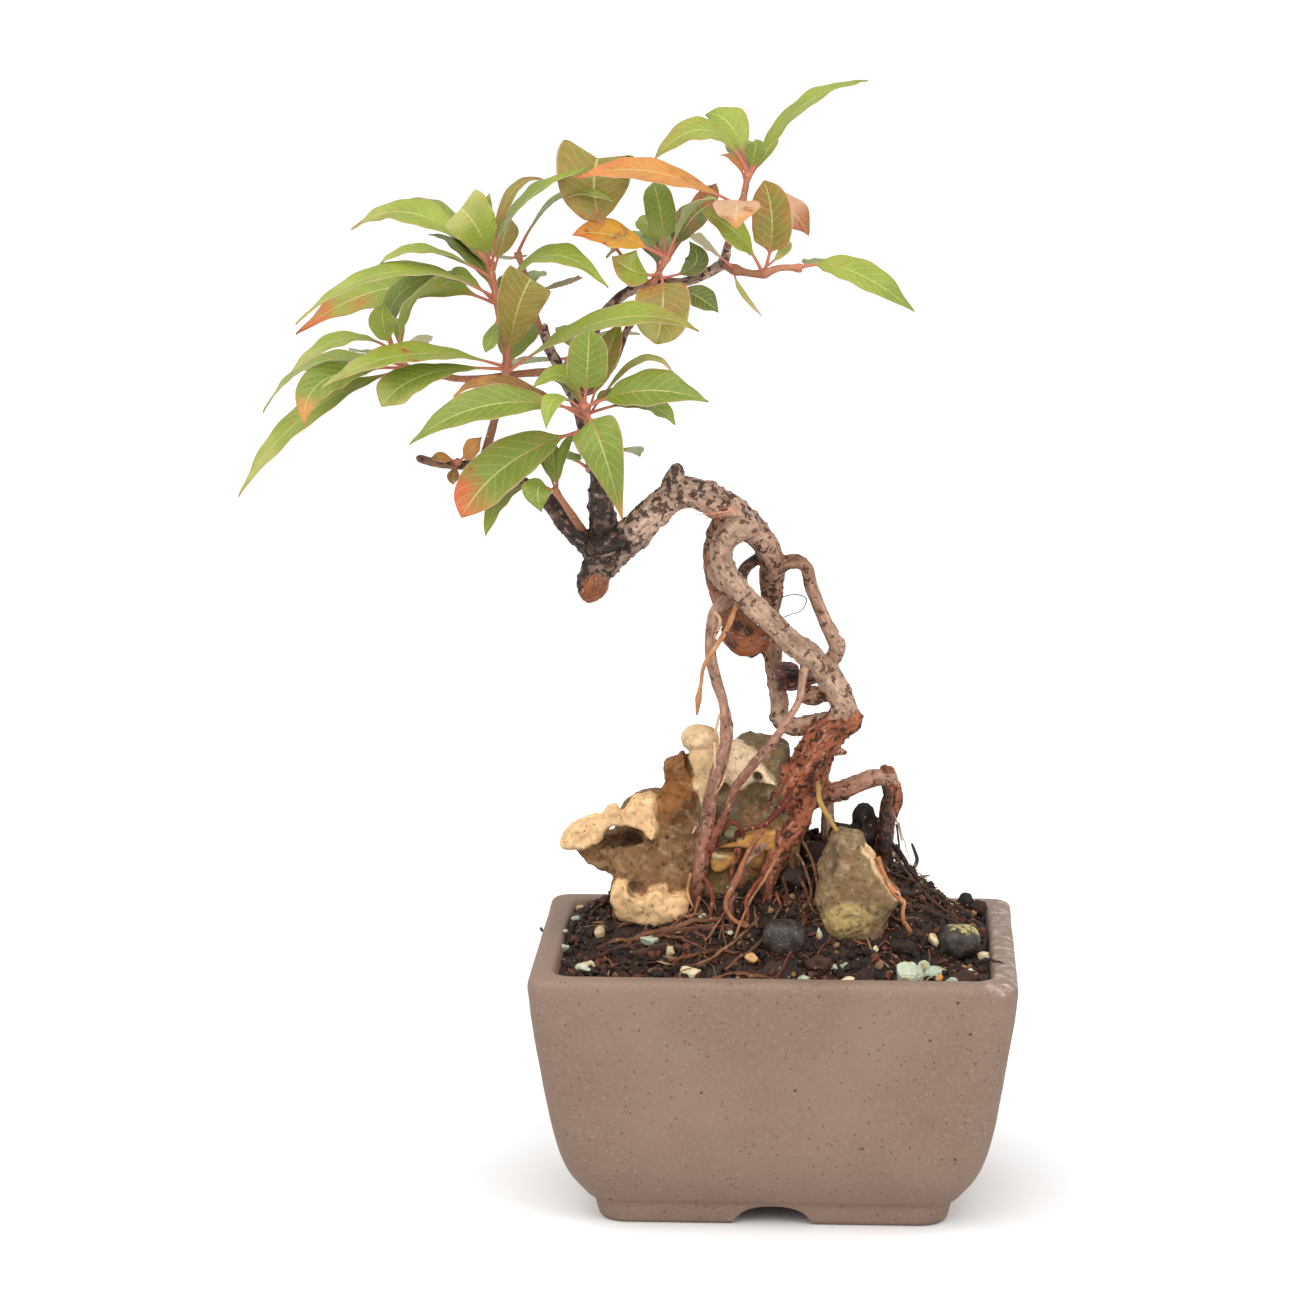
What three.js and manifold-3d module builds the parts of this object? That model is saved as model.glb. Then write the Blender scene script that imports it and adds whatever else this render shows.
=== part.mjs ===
import * as THREE from 'three';
import { mergeVertices } from 'three/addons/utils/BufferGeometryUtils.js';
import Module from 'manifold-3d';

// Firebush bonsai in its clay pot: a contorted tree with bare roots over limestone, and whorls of long leaves.
// Units are millimetres and +Z is up. Everything is placed from the middle of the pot's underside, with the
// front of the pot towards -Y. The last lines shift the plant so that the origin is under the middle of its box.

const wasm = await Module();
wasm.setup();

// Driving dimensions of the pot
const potHalfWidth = 76;
const potHalfDepth = 59;
const potHeight = 84;
const footHeight = 7.2;
const floorTop = 14;
const drainRadius = 8;
const archWidth = 25.8;
const archHeight = 6.4;

// Gap that keeps touching pieces apart
const gap = 0.3;

// Soil: flat near the walls, with a mound under the roots
const soilEdge = 80.5;
const moundHeight = 34;
const moundCentre = { x: 10, y: 16 };
const moundReach = { left: 85, right: 60, front: 58, back: 44 };

// Half width of the soil at its top edge and at the pot's floor
const soilTopHalf = 67.7;
const soilFloorHalf = 48.5;

const screenSize = 34;
const screenThickness = 1;

function seededRandom(seed) {
  let state = seed;
  return () => {
    state = (state * 1664525 + 1013904223) % 4294967296;
    return state / 4294967296;
  };
}

// Smooth lumps, from -1 to 1, of about the given size in mm
function lumps(p, size, phase = 0) {
  const k = (2 * Math.PI) / size;
  const a = Math.sin(k * p.x + 1.7 * Math.sin(k * 0.61 * p.y + phase));
  const b = Math.sin(k * 0.93 * p.y + 1.5 * Math.sin(k * 0.57 * p.z + 2.1 + phase));
  const c = Math.sin(k * 1.07 * p.z + 1.3 * Math.sin(k * 0.66 * p.x + 4.2 + phase));
  return (a + b + c) / 3;
}

// Closed solids and their joins

function toManifold(geometry) {
  const bare = geometry.clone();
  bare.deleteAttribute('normal');
  bare.deleteAttribute('uv');
  const merged = mergeVertices(bare, 1e-4);
  return new wasm.Manifold(new wasm.Mesh({
    numProp: 3,
    vertProperties: new Float32Array(merged.attributes.position.array),
    triVerts: new Uint32Array(merged.index.array),
  }));
}

function toGeometry(manifold) {
  const mesh = manifold.getMesh();
  const geometry = new THREE.BufferGeometry();
  geometry.setAttribute('position', new THREE.BufferAttribute(new Float32Array(mesh.vertProperties), 3));
  geometry.setIndex(new THREE.BufferAttribute(new Uint32Array(mesh.triVerts), 1));
  geometry.computeVertexNormals();
  return geometry;
}

function join(solids) {
  return solids.reduce((sum, solid) => sum.add(solid));
}

// A cut can leave loose scraps: only the largest body is kept
function largestBody(manifold) {
  const bodies = manifold.decompose();
  return bodies.reduce((best, body) => (body.volume() > best.volume() ? body : best));
}

function solidGeometry(vertices, triangles) {
  const geometry = new THREE.BufferGeometry();
  geometry.setAttribute('position', new THREE.Float32BufferAttribute(vertices.flatMap((v) => [v.x, v.y, v.z]), 3));
  geometry.setIndex(triangles.flat());
  return geometry;
}

// Skin over a row of rings with equal counts, which run anticlockwise seen from the far end.
// Open rows get a fan over each end; closed rows run back into their first ring. From the point number
// flipFrom on, the squares are split along their other diagonal.
function loft(rings, { closed = false, apex = null, flipFrom = Infinity } = {}) {
  const count = rings[0].length;
  const vertices = rings.flat();
  const triangles = [];
  const last = closed ? rings.length : rings.length - 1;
  for (let i = 0; i < last; i += 1) {
    const here = i * count;
    const next = ((i + 1) % rings.length) * count;
    for (let j = 0; j < count; j += 1) {
      const k = (j + 1) % count;
      if (j < flipFrom) triangles.push([here + j, here + k, next + k], [here + j, next + k, next + j]);
      else triangles.push([here + j, here + k, next + j], [here + k, next + k, next + j]);
    }
  }
  if (!closed) {
    const middle = (ring) => ring.reduce((sum, v) => sum.add(v), new THREE.Vector3()).divideScalar(count);
    const start = vertices.push(middle(rings[0])) - 1;
    const end = vertices.push(apex ?? middle(rings[rings.length - 1])) - 1;
    const top = (rings.length - 1) * count;
    for (let j = 0; j < count; j += 1) {
      const k = (j + 1) % count;
      triangles.push([start, k, j], [end, top + j, top + k]);
    }
  }
  return solidGeometry(vertices, triangles);
}

// Rounded rectangle round the Z axis, four points a corner
function roundedRing(halfX, halfY, corner, z) {
  const ring = [];
  for (let quarter = 0; quarter < 4; quarter += 1) {
    const signX = quarter === 0 || quarter === 3 ? 1 : -1;
    const signY = quarter < 2 ? 1 : -1;
    for (let step = 0; step < 4; step += 1) {
      const angle = ((quarter + step / 3) * Math.PI) / 2;
      const x = signX * (halfX - corner) + corner * Math.cos(angle);
      const y = signY * (halfY - corner) + corner * Math.sin(angle);
      ring.push(new THREE.Vector3(x, y, z));
    }
  }
  return ring;
}

// Pot: slab-built clay with a low foot that is open in the middle of its long sides

const depthLess = potHalfWidth - potHalfDepth;

// Pot's outside, from the foot up to the rim: [height, half width, corner radius]
const outerProfile = [
  [0, 54, 8.5], [1.2, 55.2, 9], [footHeight, 57.1, 9], [8.4, 58.6, 9.5], [12, 61.5, 10], [17, 64.5, 10],
  [24, 67.2, 9.5], [33, 69.4, 9], [43, 71.1, 8.5], [56, 73.1, 7.5], [70, 75, 6.5], [81.8, 76, 6],
  [83.3, 75.6, 5.6], [potHeight, 74.4, 5],
];

// Half width of the pot's inside, from the rim down to the floor
const innerProfile = [[82, 68], [66, 66], [48, 64], [32, 61], [20, 56.5], [floorTop, 49]];
const innerCorner = 8;
const footInside = 44;

function makePot() {
  const rings = [];
  const addRing = (z, half, corner) => rings.push(roundedRing(half, half - depthLess, corner, z));
  addRing(0, footInside + 2.5, innerCorner / 2);
  outerProfile.forEach(([z, half, corner]) => addRing(z, half, corner));
  addRing(potHeight, 69.6, innerCorner);
  addRing(83.4, 68.4, innerCorner);
  innerProfile.forEach(([z, half]) => addRing(z, half, innerCorner));
  rings.push(roundedRing(drainRadius, drainRadius, drainRadius, floorTop));
  rings.push(roundedRing(drainRadius, drainRadius, drainRadius, footHeight));
  addRing(footHeight, footInside, innerCorner / 2);
  const body = toManifold(loft(rings, { closed: true }));

  // The opening in the foot is a flat dome
  const half = archWidth / 2;
  const arch = new THREE.Shape();
  arch.moveTo(-half, -1);
  arch.lineTo(half, -1);
  arch.lineTo(half, 0);
  arch.bezierCurveTo(0.8 * half, 0.8 * archHeight, 0.5 * half, archHeight, 0, archHeight);
  arch.bezierCurveTo(-0.5 * half, archHeight, -0.8 * half, 0.8 * archHeight, -half, 0);
  const notch = new THREE.ExtrudeGeometry(arch, { depth: 2 * potHalfDepth, bevelEnabled: false, curveSegments: 5 });
  notch.rotateX(Math.PI / 2);
  notch.translate(0, potHalfDepth, 0);
  return body.subtract(toManifold(notch));
}

// Drain screen: a thin plastic grid that keeps the soil off the drain hole

function makeScreen() {
  const pitch = 10;
  const opening = 7;
  const level = floorTop + gap + screenThickness / 2;
  let grid = toManifold(new THREE.BoxGeometry(screenSize, screenSize, screenThickness).translate(0, 0, level));
  for (let column = -1; column <= 1; column += 1) {
    for (let row = -1; row <= 1; row += 1) {
      const hole = new THREE.BoxGeometry(opening, opening, 4 * screenThickness);
      grid = grid.subtract(toManifold(hole.translate(column * pitch, row * pitch, level)));
    }
  }
  return grid;
}

// Wood: each limb is a row of points [x, y, z, radius] from its thick end to its thin end

const barkLumpSize = 9;
const barkLumpHeight = 0.09;

function limb(points, sides, extra = 0, step = 10) {
  const curve = new THREE.CatmullRomCurve3(points.map((p) => new THREE.Vector3(p[0], p[1], p[2])), false, 'centripetal');
  const count = Math.max(3, Math.round(curve.getLength() / step));
  const frames = curve.computeFrenetFrames(count);
  const rings = [];
  for (let i = 0; i <= count; i += 1) {
    const t = curve.getUtoTmapping(i / count) * (points.length - 1);
    const knot = Math.min(points.length - 2, Math.floor(t));
    const radius = THREE.MathUtils.lerp(points[knot][3], points[knot + 1][3], t - knot);
    const centre = curve.getPointAt(i / count);
    if (i === 0) centre.addScaledVector(frames.tangents[0], -extra);
    if (i === count) centre.addScaledVector(frames.tangents[count], extra);
    const ring = [];
    for (let j = 0; j < sides; j += 1) {
      const angle = (2 * Math.PI * j) / sides;
      const out = frames.normals[i].clone().multiplyScalar(Math.cos(angle));
      out.addScaledVector(frames.binormals[i], Math.sin(angle));
      const bark = 1 + barkLumpHeight * lumps(centre.clone().addScaledVector(out, radius), barkLumpSize);
      ring.push(centre.clone().addScaledVector(out, radius * bark + extra));
    }
    rings.push(ring);
  }
  return toManifold(loft(rings));
}

const limbs = [
  // Trunk: from its cut lower end on the left, over the arch and down behind the front root
  { sides: 7, points: [
    [-60, 0, 199.5, 3.8], [-56, 0, 205, 5.7], [-52, 0, 210, 6.2], [-45, -1, 215.5, 5.1],
    [-39, -1, 222, 5.1], [-33, -1, 227, 5.1], [-28, -1, 228, 5], [-22, -1, 226.2, 5], [-15, -1, 222.3, 5],
    [-10.5, 0, 218.3, 4.7], [-4.5, 2, 212, 4.4], [-2, 5, 205.5, 4.1], [-2, 8, 198, 3.8],
    [-2.5, 11, 190, 3.5], [-3.3, 12, 183, 3.2], [-2.3, 12, 176, 3], [-1.3, 11, 169, 2.9], [0, 9, 161, 2.9],
    [1, 7, 153, 2.9]] },
  { sides: 7, points: [[-35, -1, 226, 4], [-32, -1, 235.5, 2.8]] },
  { sides: 7, points: [[0, 7.5, 155, 2.9], [4, 5, 152, 3], [9, 3, 153, 3.1], [16, 0, 155, 3.2]] },
  // Thick front root, from under the arch to its knee on the right
  { sides: 7, points: [
    [-10, -3, 218, 4], [-14.5, -6, 216.5, 4.2], [-17.3, -8, 213, 4], [-17.7, -9, 208, 3.7], [-15, -9, 202, 3.8],
    [-10, -8, 196, 3.8], [-3, -7, 189, 3.9], [4, -6, 182, 3.9], [11, -5, 176, 4.1], [17, -4, 169, 4.3],
    [20.5, -3, 162, 4.4], [21.3, -3, 156, 4.5]] },
  // From the knee down to the soil and on into it
  { sides: 7, points: [
    [23, -3, 156, 4.4], [18, -3, 153, 5.2], [13, -3, 148, 5.7], [9, -3, 140, 6], [3, -2, 130, 5.7],
    [-2, -1, 121, 5.3], [1, 2, 106, 5], [4, 4, 86, 4], [8, 4, 64, 2.6]] },
  // Its front branch, which lies on the mound
  { sides: 6, points: [
    [16, 1, 147, 3.2], [14, 0, 139, 3.3], [10, -3, 131, 3.3], [7, -6, 123, 3.5], [2, -9, 117, 3.6],
    [-1, -11, 111, 3.3], [-3, -13, 105, 2.8], [-3, -14, 98, 2.4], [-2, -14, 86, 2], [0, -12, 72, 1.5]] },
  { sides: 5, points: [[-1, -4, 123, 2.4], [-6, -8, 120.5, 1.6], [-10, -11, 119, 1.4], [-13, -13, 112, 1.3], [-15, -13, 94, 1.2]] },
  { sides: 5, points: [
    [0, -6, 121, 1.9], [-4, -12, 117, 1.6], [-9, -16, 113, 1.4], [-12, -18, 108, 1.3], [-14, -21, 103, 1.2],
    [-14, -23, 97, 1.2], [-11, -25, 86, 1.1]] },
  // Short root behind it that ends in a cut red stub
  { sides: 7, points: [
    [-18, -2, 218, 3.4], [-20, 0, 213, 2.9], [-21, 1, 207, 2.9], [-20, 2, 201, 3.3], [-18, 3, 195, 3.9],
    [-15, 3, 189, 4.8], [-12, 3, 184, 5.3], [-9, 3, 179, 4.3]] },
  // Long thin root on the left, down the face of the stone
  { sides: 5, points: [
    [-16, 0, 194, 2.3], [-20, -3, 190, 2.2], [-21, -6, 184, 2.2], [-21, -8, 177, 2.1], [-19, -9, 169, 1.9],
    [-17, -10, 163, 1.8], [-16, -12, 157, 2.1], [-16, -14, 150, 2.3], [-18, -16, 143, 2.4], [-20, -16, 136, 2.4],
    [-21, -15, 130, 2.4], [-22, -14, 123, 2.6], [-23, -13, 116, 2.8], [-24, -13, 109, 2.5], [-25, -12, 102, 2.2],
    [-26, -11, 94, 2], [-27, -9, 80, 1.6], [-28, -8, 66, 1.2]] },
  { sides: 5, points: [
    [-12, -6, 196, 1], [-16, -9, 186, 1.2], [-20, -13, 180, 1.2], [-23, -15, 175, 1], [-24, -16, 168, 0.9],
    [-24.5, -16, 165, 1.4], [-25, -16, 160, 0.7]] },
  // Looped root on the right, its knob, its cut end and the stub beside it
  { sides: 5, points: [
    [1, 4, 204, 2.5], [5, 3, 206, 2.3], [9, 3, 204, 2.2], [10, 3, 199, 2.3], [13, 4, 191, 2.4],
    [16, 4, 184, 2.5], [19, 4, 178, 2.7]] },
  { sides: 6, points: [[19, 4, 179.5, 2.6], [18, 5, 175, 2.7], [15, 7, 171, 2.6], [11, 8, 168, 2.7], [4, 7, 166, 2.9]] },
  { sides: 6, points: [[10, 4, 163, 2.7], [14, 2, 163, 2.3], [20, -1, 163, 2.2]] },
  // Thin root in front
  { sides: 5, points: [
    [9, -5, 176, 1.6], [8, -10, 170, 1.5], [7, -12, 164, 1.5], [4, -14, 159, 1.5], [0, -16, 153, 1.6],
    [-4, -17, 148, 1.7], [-9, -18, 142, 1.7], [-13, -17, 136, 1.6], [-16, -16, 128, 1.6], [-19, -15, 121, 1.6],
    [-22, -13.5, 114, 1.7]] },
  // Hairpin root on the right
  { sides: 6, points: [[9, 1, 128, 3.2], [17, 5, 130.5, 3.3], [23, 7, 132, 3.2], [29, 9, 134.3, 2.9], [35.5, 11, 134.8, 2.8]] },
  { sides: 6, points: [
    [35, 11, 135.8, 2.6], [37, 11.5, 129.5, 2.8], [35.5, 12, 122, 2.9], [34, 12, 115, 2.8], [33, 12, 106, 2.6],
    [32, 11, 90, 2], [33, 10, 74, 1.4]] },
  { sides: 5, points: [[14, 1, 140, 2.1], [15, 6, 133, 2], [16, 9, 125, 2.2], [16, 9, 117, 2.5], [17, 9, 104, 2.4], [18, 9, 86, 1.8]] },
  // Root at the back, down the mound
  { sides: 5, points: [
    [8, 0, 141, 3.2], [12, 9, 134, 3.1], [10, 20, 126, 2.9], [4, 29, 114, 2.6], [0, 36, 100, 2.2],
    [-2, 38, 86, 1.8], [-2, 36, 70, 1.3]] },
  // Dark limb across the opening under the arch
  { sides: 6, points: [[-2, 6, 208, 2.4], [-7, 5, 206, 2], [-10, 2, 204, 1.8], [-11.5, -3, 201, 1.9], [-11, -6, 197, 2]] },
  // Leader with its dead tip
  { sides: 7, points: [
    [-53, 0, 208, 5.3], [-55, 0, 216, 4.5], [-56, 0, 224, 4.1], [-56, 0, 232, 3.5], [-58, 0, 239, 2.9],
    [-61, 1, 248, 2.4], [-64, 2, 257, 2.1], [-67, 3, 262, 1.9], [-70, 4, 268, 1.8], [-73, 5, 274, 1.6],
    [-74, 5, 280, 1.1]] },
  // Lower branch on the left, cut off at its end
  { sides: 6, points: [
    [-56, 0, 208, 4.4], [-60.5, 1, 211.5, 3.8], [-65.5, 2, 216, 3.3], [-71, 3.5, 222, 2.9],
    [-75.5, 5, 226.5, 2.5], [-82, 7, 230, 2.2], [-88.5, 8, 233, 2], [-95, 9, 235.5, 1.9],
    [-101, 9, 235, 1.8], [-108, 8, 235.5, 1.7], [-114, 8, 237, 1.7]] },
  // Two crown branches
  { sides: 5, points: [
    [-64, 2, 255, 1.7], [-60, 5, 273, 1.8], [-56, 8, 283, 1.8], [-47, 10, 291, 1.7], [-39, 10, 293, 1.7],
    [-29, 9, 294, 1.7], [-18, 8, 300, 1.8], [-16.5, 7.3, 305, 1.5]] },
  { sides: 5, points: [
    [-66, 3, 259, 1.6], [-60, 0, 260, 1.5], [-56, -3, 263, 1.4], [-52, -4, 269, 1.4], [-49, -4, 277, 1.3],
    [-45.5, -3, 284, 1.2]] },
];

const makeTree = (extra) => join(limbs.map(({ sides, points }) => limb(points, sides, extra)));

// Stones: each is a few joined lumps { at, radii, tilt about Y in degrees }, pitted all over

function blob({ at, radii, tilt = 0 }, detail, rough, extra = 0) {
  const geometry = new THREE.IcosahedronGeometry(1, detail);
  const position = geometry.attributes.position;
  const turn = new THREE.Matrix4().makeRotationY(THREE.MathUtils.degToRad(tilt));
  const centre = new THREE.Vector3(...at);
  const vertex = new THREE.Vector3();
  for (let i = 0; i < position.count; i += 1) {
    vertex.fromBufferAttribute(position, i);
    const out = vertex.clone().applyMatrix4(turn);
    vertex.multiply(new THREE.Vector3(...radii)).applyMatrix4(turn).add(centre);
    vertex.addScaledVector(out, rough * lumps(vertex, 11) + extra);
    position.setXYZ(i, vertex.x, vertex.y, vertex.z);
  }
  return toManifold(geometry);
}

// Lumps below a stone's own size have fewer faces
function makeStone({ parts, rough, plainBelow }, extra) {
  const detail = ({ radii }) => (Math.max(...radii) < plainBelow ? 1 : 2);
  return join(parts.map((part) => blob(part, detail(part), rough, extra)));
}

const largeStone = { rough: 1.3, plainBelow: 14.5, parts: [
  { at: [-31, 1, 112], radii: [19, 14, 22] },
  { at: [-53, 3, 117], radii: [18, 11, 7], tilt: -22 },
  { at: [-46, 3, 105], radii: [10, 11, 15], tilt: 20 },
  { at: [-39, 2, 95], radii: [13, 11, 7] },
  { at: [-28, 0, 131], radii: [11, 12, 17], tilt: 14 },
  { at: [-24, 0, 145], radii: [7.5, 8, 7.5] },
  { at: [-8, 5, 131], radii: [14, 12, 15] },
  { at: [-5, 12, 140], radii: [11, 8, 8] },
  { at: [-12, 7, 118], radii: [13, 12, 14] },
  { at: [-17, -5, 112], radii: [5, 5, 5] },
] };

const smallStone = { rough: 0.8, plainBelow: 8, parts: [
  { at: [21, -12, 112], radii: [8, 9, 9] },
  { at: [25, -15, 98], radii: [12.5, 11, 13] },
  { at: [34, -14, 100], radii: [5, 7, 6] },
] };

const ochreStone = { rough: 0.4, plainBelow: 8, parts: [{ at: [-5, -6, 112], radii: [10, 6, 5] }] };

const pebbles = [
  { name: 'pebble_left', stone: { rough: 0.15, plainBelow: 8, parts: [{ at: [3, -30, 91.5], radii: [6.7, 6.2, 6.2] }] } },
  { name: 'pebble_right', stone: { rough: 0.2, plainBelow: 8, parts: [{ at: [58, -12, 86.5], radii: [6.5, 6.5, 5.8] }] } },
];

// Soil height over the pot's underside

function soilHeight(x, y) {
  const dx = x - moundCentre.x;
  const dy = y - moundCentre.y;
  const reachX = dx < 0 ? moundReach.left : moundReach.right;
  const reachY = dy < 0 ? moundReach.front : moundReach.back;
  const far = Math.min(1, Math.hypot(dx / reachX, dy / reachY));
  const crumb = lumps(new THREE.Vector3(x, y, 0), 13, 1.3) * 0.9;
  return soilEdge + moundHeight * (1 - far ** 1.5) + crumb;
}

// Grains of zeolite and pumice that lie on the soil: [x, y, half length, half width, half height, turn]
const grains = [
  [42, -42, 4.6, 4, 4.4, 20], [51, -34, 4, 3, 2.4, 5], [61, -36, 2.8, 2.6, 2.6, 40], [56, -45, 2.3, 2.3, 2.6, 15],
  [24, -46, 3.2, 2.6, 2.3, -20], [9, -44, 2.2, 2, 2.1, 50], [-59, -30, 3.1, 2.4, 2.2, -10],
  [-39, -22, 3.4, 2.4, 1.9, 8], [-27, -37, 4.2, 2.8, 2.1, 4], [30, 34, 3, 2.4, 2, 12], [-22, 40, 3.4, 2.6, 2.2, -30],
  [-48, 36, 2.8, 2.6, 2.1, 18],
];

const pumiceGrains = ['grain_05', 'grain_09'];

// Height of a grain's middle over the soil, as a share of its own half height
const grainLift = 0.35;

function grain([x, y, long, wide, high, turn], index, extra = 0) {
  const geometry = new THREE.IcosahedronGeometry(1, 0);
  geometry.scale(long + extra, wide + extra, high + extra);
  geometry.rotateX(index);
  geometry.rotateZ(THREE.MathUtils.degToRad(turn));
  geometry.translate(x, y, soilHeight(x, y) + grainLift * high);
  return toManifold(geometry);
}

function makeSoil(tree, stones, lying) {
  const ringCount = 8;
  const rings = [];
  const side = (z, half) => roundedSoil(half - gap, half - depthLess - gap, innerCorner, () => z);
  rings.push(side(floorTop + gap, soilFloorHalf));
  innerProfile.slice(1, -1).reverse().forEach(([z, half]) => rings.push(side(z, half)));
  for (let i = 0; i < ringCount; i += 1) {
    const share = 1 - i / ringCount;
    const half = soilTopHalf - gap;
    rings.push(roundedSoil(share * half, share * (half - depthLess), share * innerCorner, soilHeight));
  }
  const apex = new THREE.Vector3(0, 0, soilHeight(0, 0));
  const heap = toManifold(loft(rings, { apex }));
  const clump = blob({ at: [28, 14, 112], radii: [5, 4.5, 12] }, 1, 1.6);
  const pocket = new THREE.BoxGeometry(screenSize + 2 * gap, screenSize + 2 * gap, 2 * (screenThickness + 2 * gap));
  pocket.translate(0, 0, floorTop);
  const cuts = [tree, toManifold(pocket), ...stones, ...lying];
  return largestBody(cuts.reduce((rest, cut) => rest.subtract(cut), heap.add(clump)));
}

// Outline of the soil with more points than the pot's, at a height given by a function of x and y
function roundedSoil(halfX, halfY, corner, height) {
  const points = 32;
  const path = new THREE.Shape();
  path.moveTo(halfX, -halfY + corner);
  path.lineTo(halfX, halfY - corner);
  path.absarc(halfX - corner, halfY - corner, corner, 0, Math.PI / 2);
  path.lineTo(-halfX + corner, halfY);
  path.absarc(-halfX + corner, halfY - corner, corner, Math.PI / 2, Math.PI);
  path.lineTo(-halfX, -halfY + corner);
  path.absarc(-halfX + corner, -halfY + corner, corner, Math.PI, 1.5 * Math.PI);
  path.lineTo(halfX - corner, -halfY);
  path.absarc(halfX - corner, -halfY + corner, corner, 1.5 * Math.PI, 2 * Math.PI);
  return path.getSpacedPoints(points).slice(0, points).map((p) => new THREE.Vector3(p.x, p.y, height(p.x, p.y)));
}

// Leaves: each is [middle of its rib, tip, width, lean]. Its rib bends from the whorl through the middle to
// the tip. Lean is how far its upper face leans from straight up towards the front, in degrees. A few have
// their own blade, or a stalk that is a given share of their length.

// Share of the blade's length and of its width, from the stalk to the last ring before the tip
const longBlade = [[0, 0.14], [0.18, 0.6], [0.4, 0.95], [0.62, 0.97], [0.82, 0.6], [0.94, 0.24]];
const shortBlade = [[0, 0.16], [0.24, 0.72], [0.5, 1], [0.76, 0.75], [0.93, 0.28]];
const budBlade = [[0.1, 0.4], [0.55, 1], [0.85, 0.55]];
const bluntBlade = [[0, 0.14], [0.25, 0.58], [0.5, 0.88], [0.75, 1], [0.95, 1.04]];
const earlyBlade = [[0, 0.3], [0.12, 0.85], [0.3, 1], [0.5, 0.8], [0.75, 0.42]];
const fullBlade = [[0, 0.2], [0.15, 0.6], [0.4, 0.95], [0.65, 1], [0.85, 0.78]];
const ribThickness = 1.3;
const ribHalfDepth = 0.5 * ribThickness;
const stalkLength = 6;
const stalkHalf = 0.65;
const longLeaf = 42;
const budWidth = 6;

function leaf(start, [middle, tip, width, lean, own = {}], seed) {
  const through = new THREE.Vector3(...middle);
  const end = new THREE.Vector3(...tip);
  const control = through.clone().multiplyScalar(2).sub(start.clone().add(end).multiplyScalar(0.5));
  const rib = new THREE.QuadraticBezierCurve3(start, control, end);
  const tilt = THREE.MathUtils.degToRad(lean);
  const face = new THREE.Vector3(0, -Math.sin(tilt), Math.cos(tilt));
  const random = seededRandom(seed);
  const fold = 0.1 + 0.12 * random();
  const wave = 0.035 * width * (0.6 + 0.8 * random());
  const length = rib.getLength();
  const stalk = own.stalk ?? Math.min(0.2, stalkLength / length);

  // Four points: left margin, rib below, right margin, rib above
  const section = (share, half, waveSide) => {
    const centre = rib.getPoint(share);
    const along = rib.getTangent(share);
    const up = face.clone().addScaledVector(along, -face.dot(along)).normalize();
    const across = up.clone().cross(along);
    const corner = (side, height) => centre.clone().addScaledVector(across, side * half).addScaledVector(up, height);
    return [
      corner(-1, fold * half + waveSide * wave), corner(0, -ribHalfDepth),
      corner(1, fold * half - waveSide * wave), corner(0, ribHalfDepth),
    ];
  };

  const rings = [section(0, stalkHalf, 0)];
  const usual = length > longLeaf ? longBlade : shortBlade;
  const blade = own.blade ?? (width > budWidth ? usual : budBlade);
  blade.forEach(([share, wide], index) => {
    const half = Math.max(stalkHalf, (wide * width) / 2);
    rings.push(section(stalk + share * (1 - stalk), half, index % 2 ? 1 : -1));
  });
  return toManifold(loft(rings, { apex: end, flipFrom: 2 }));
}

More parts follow.
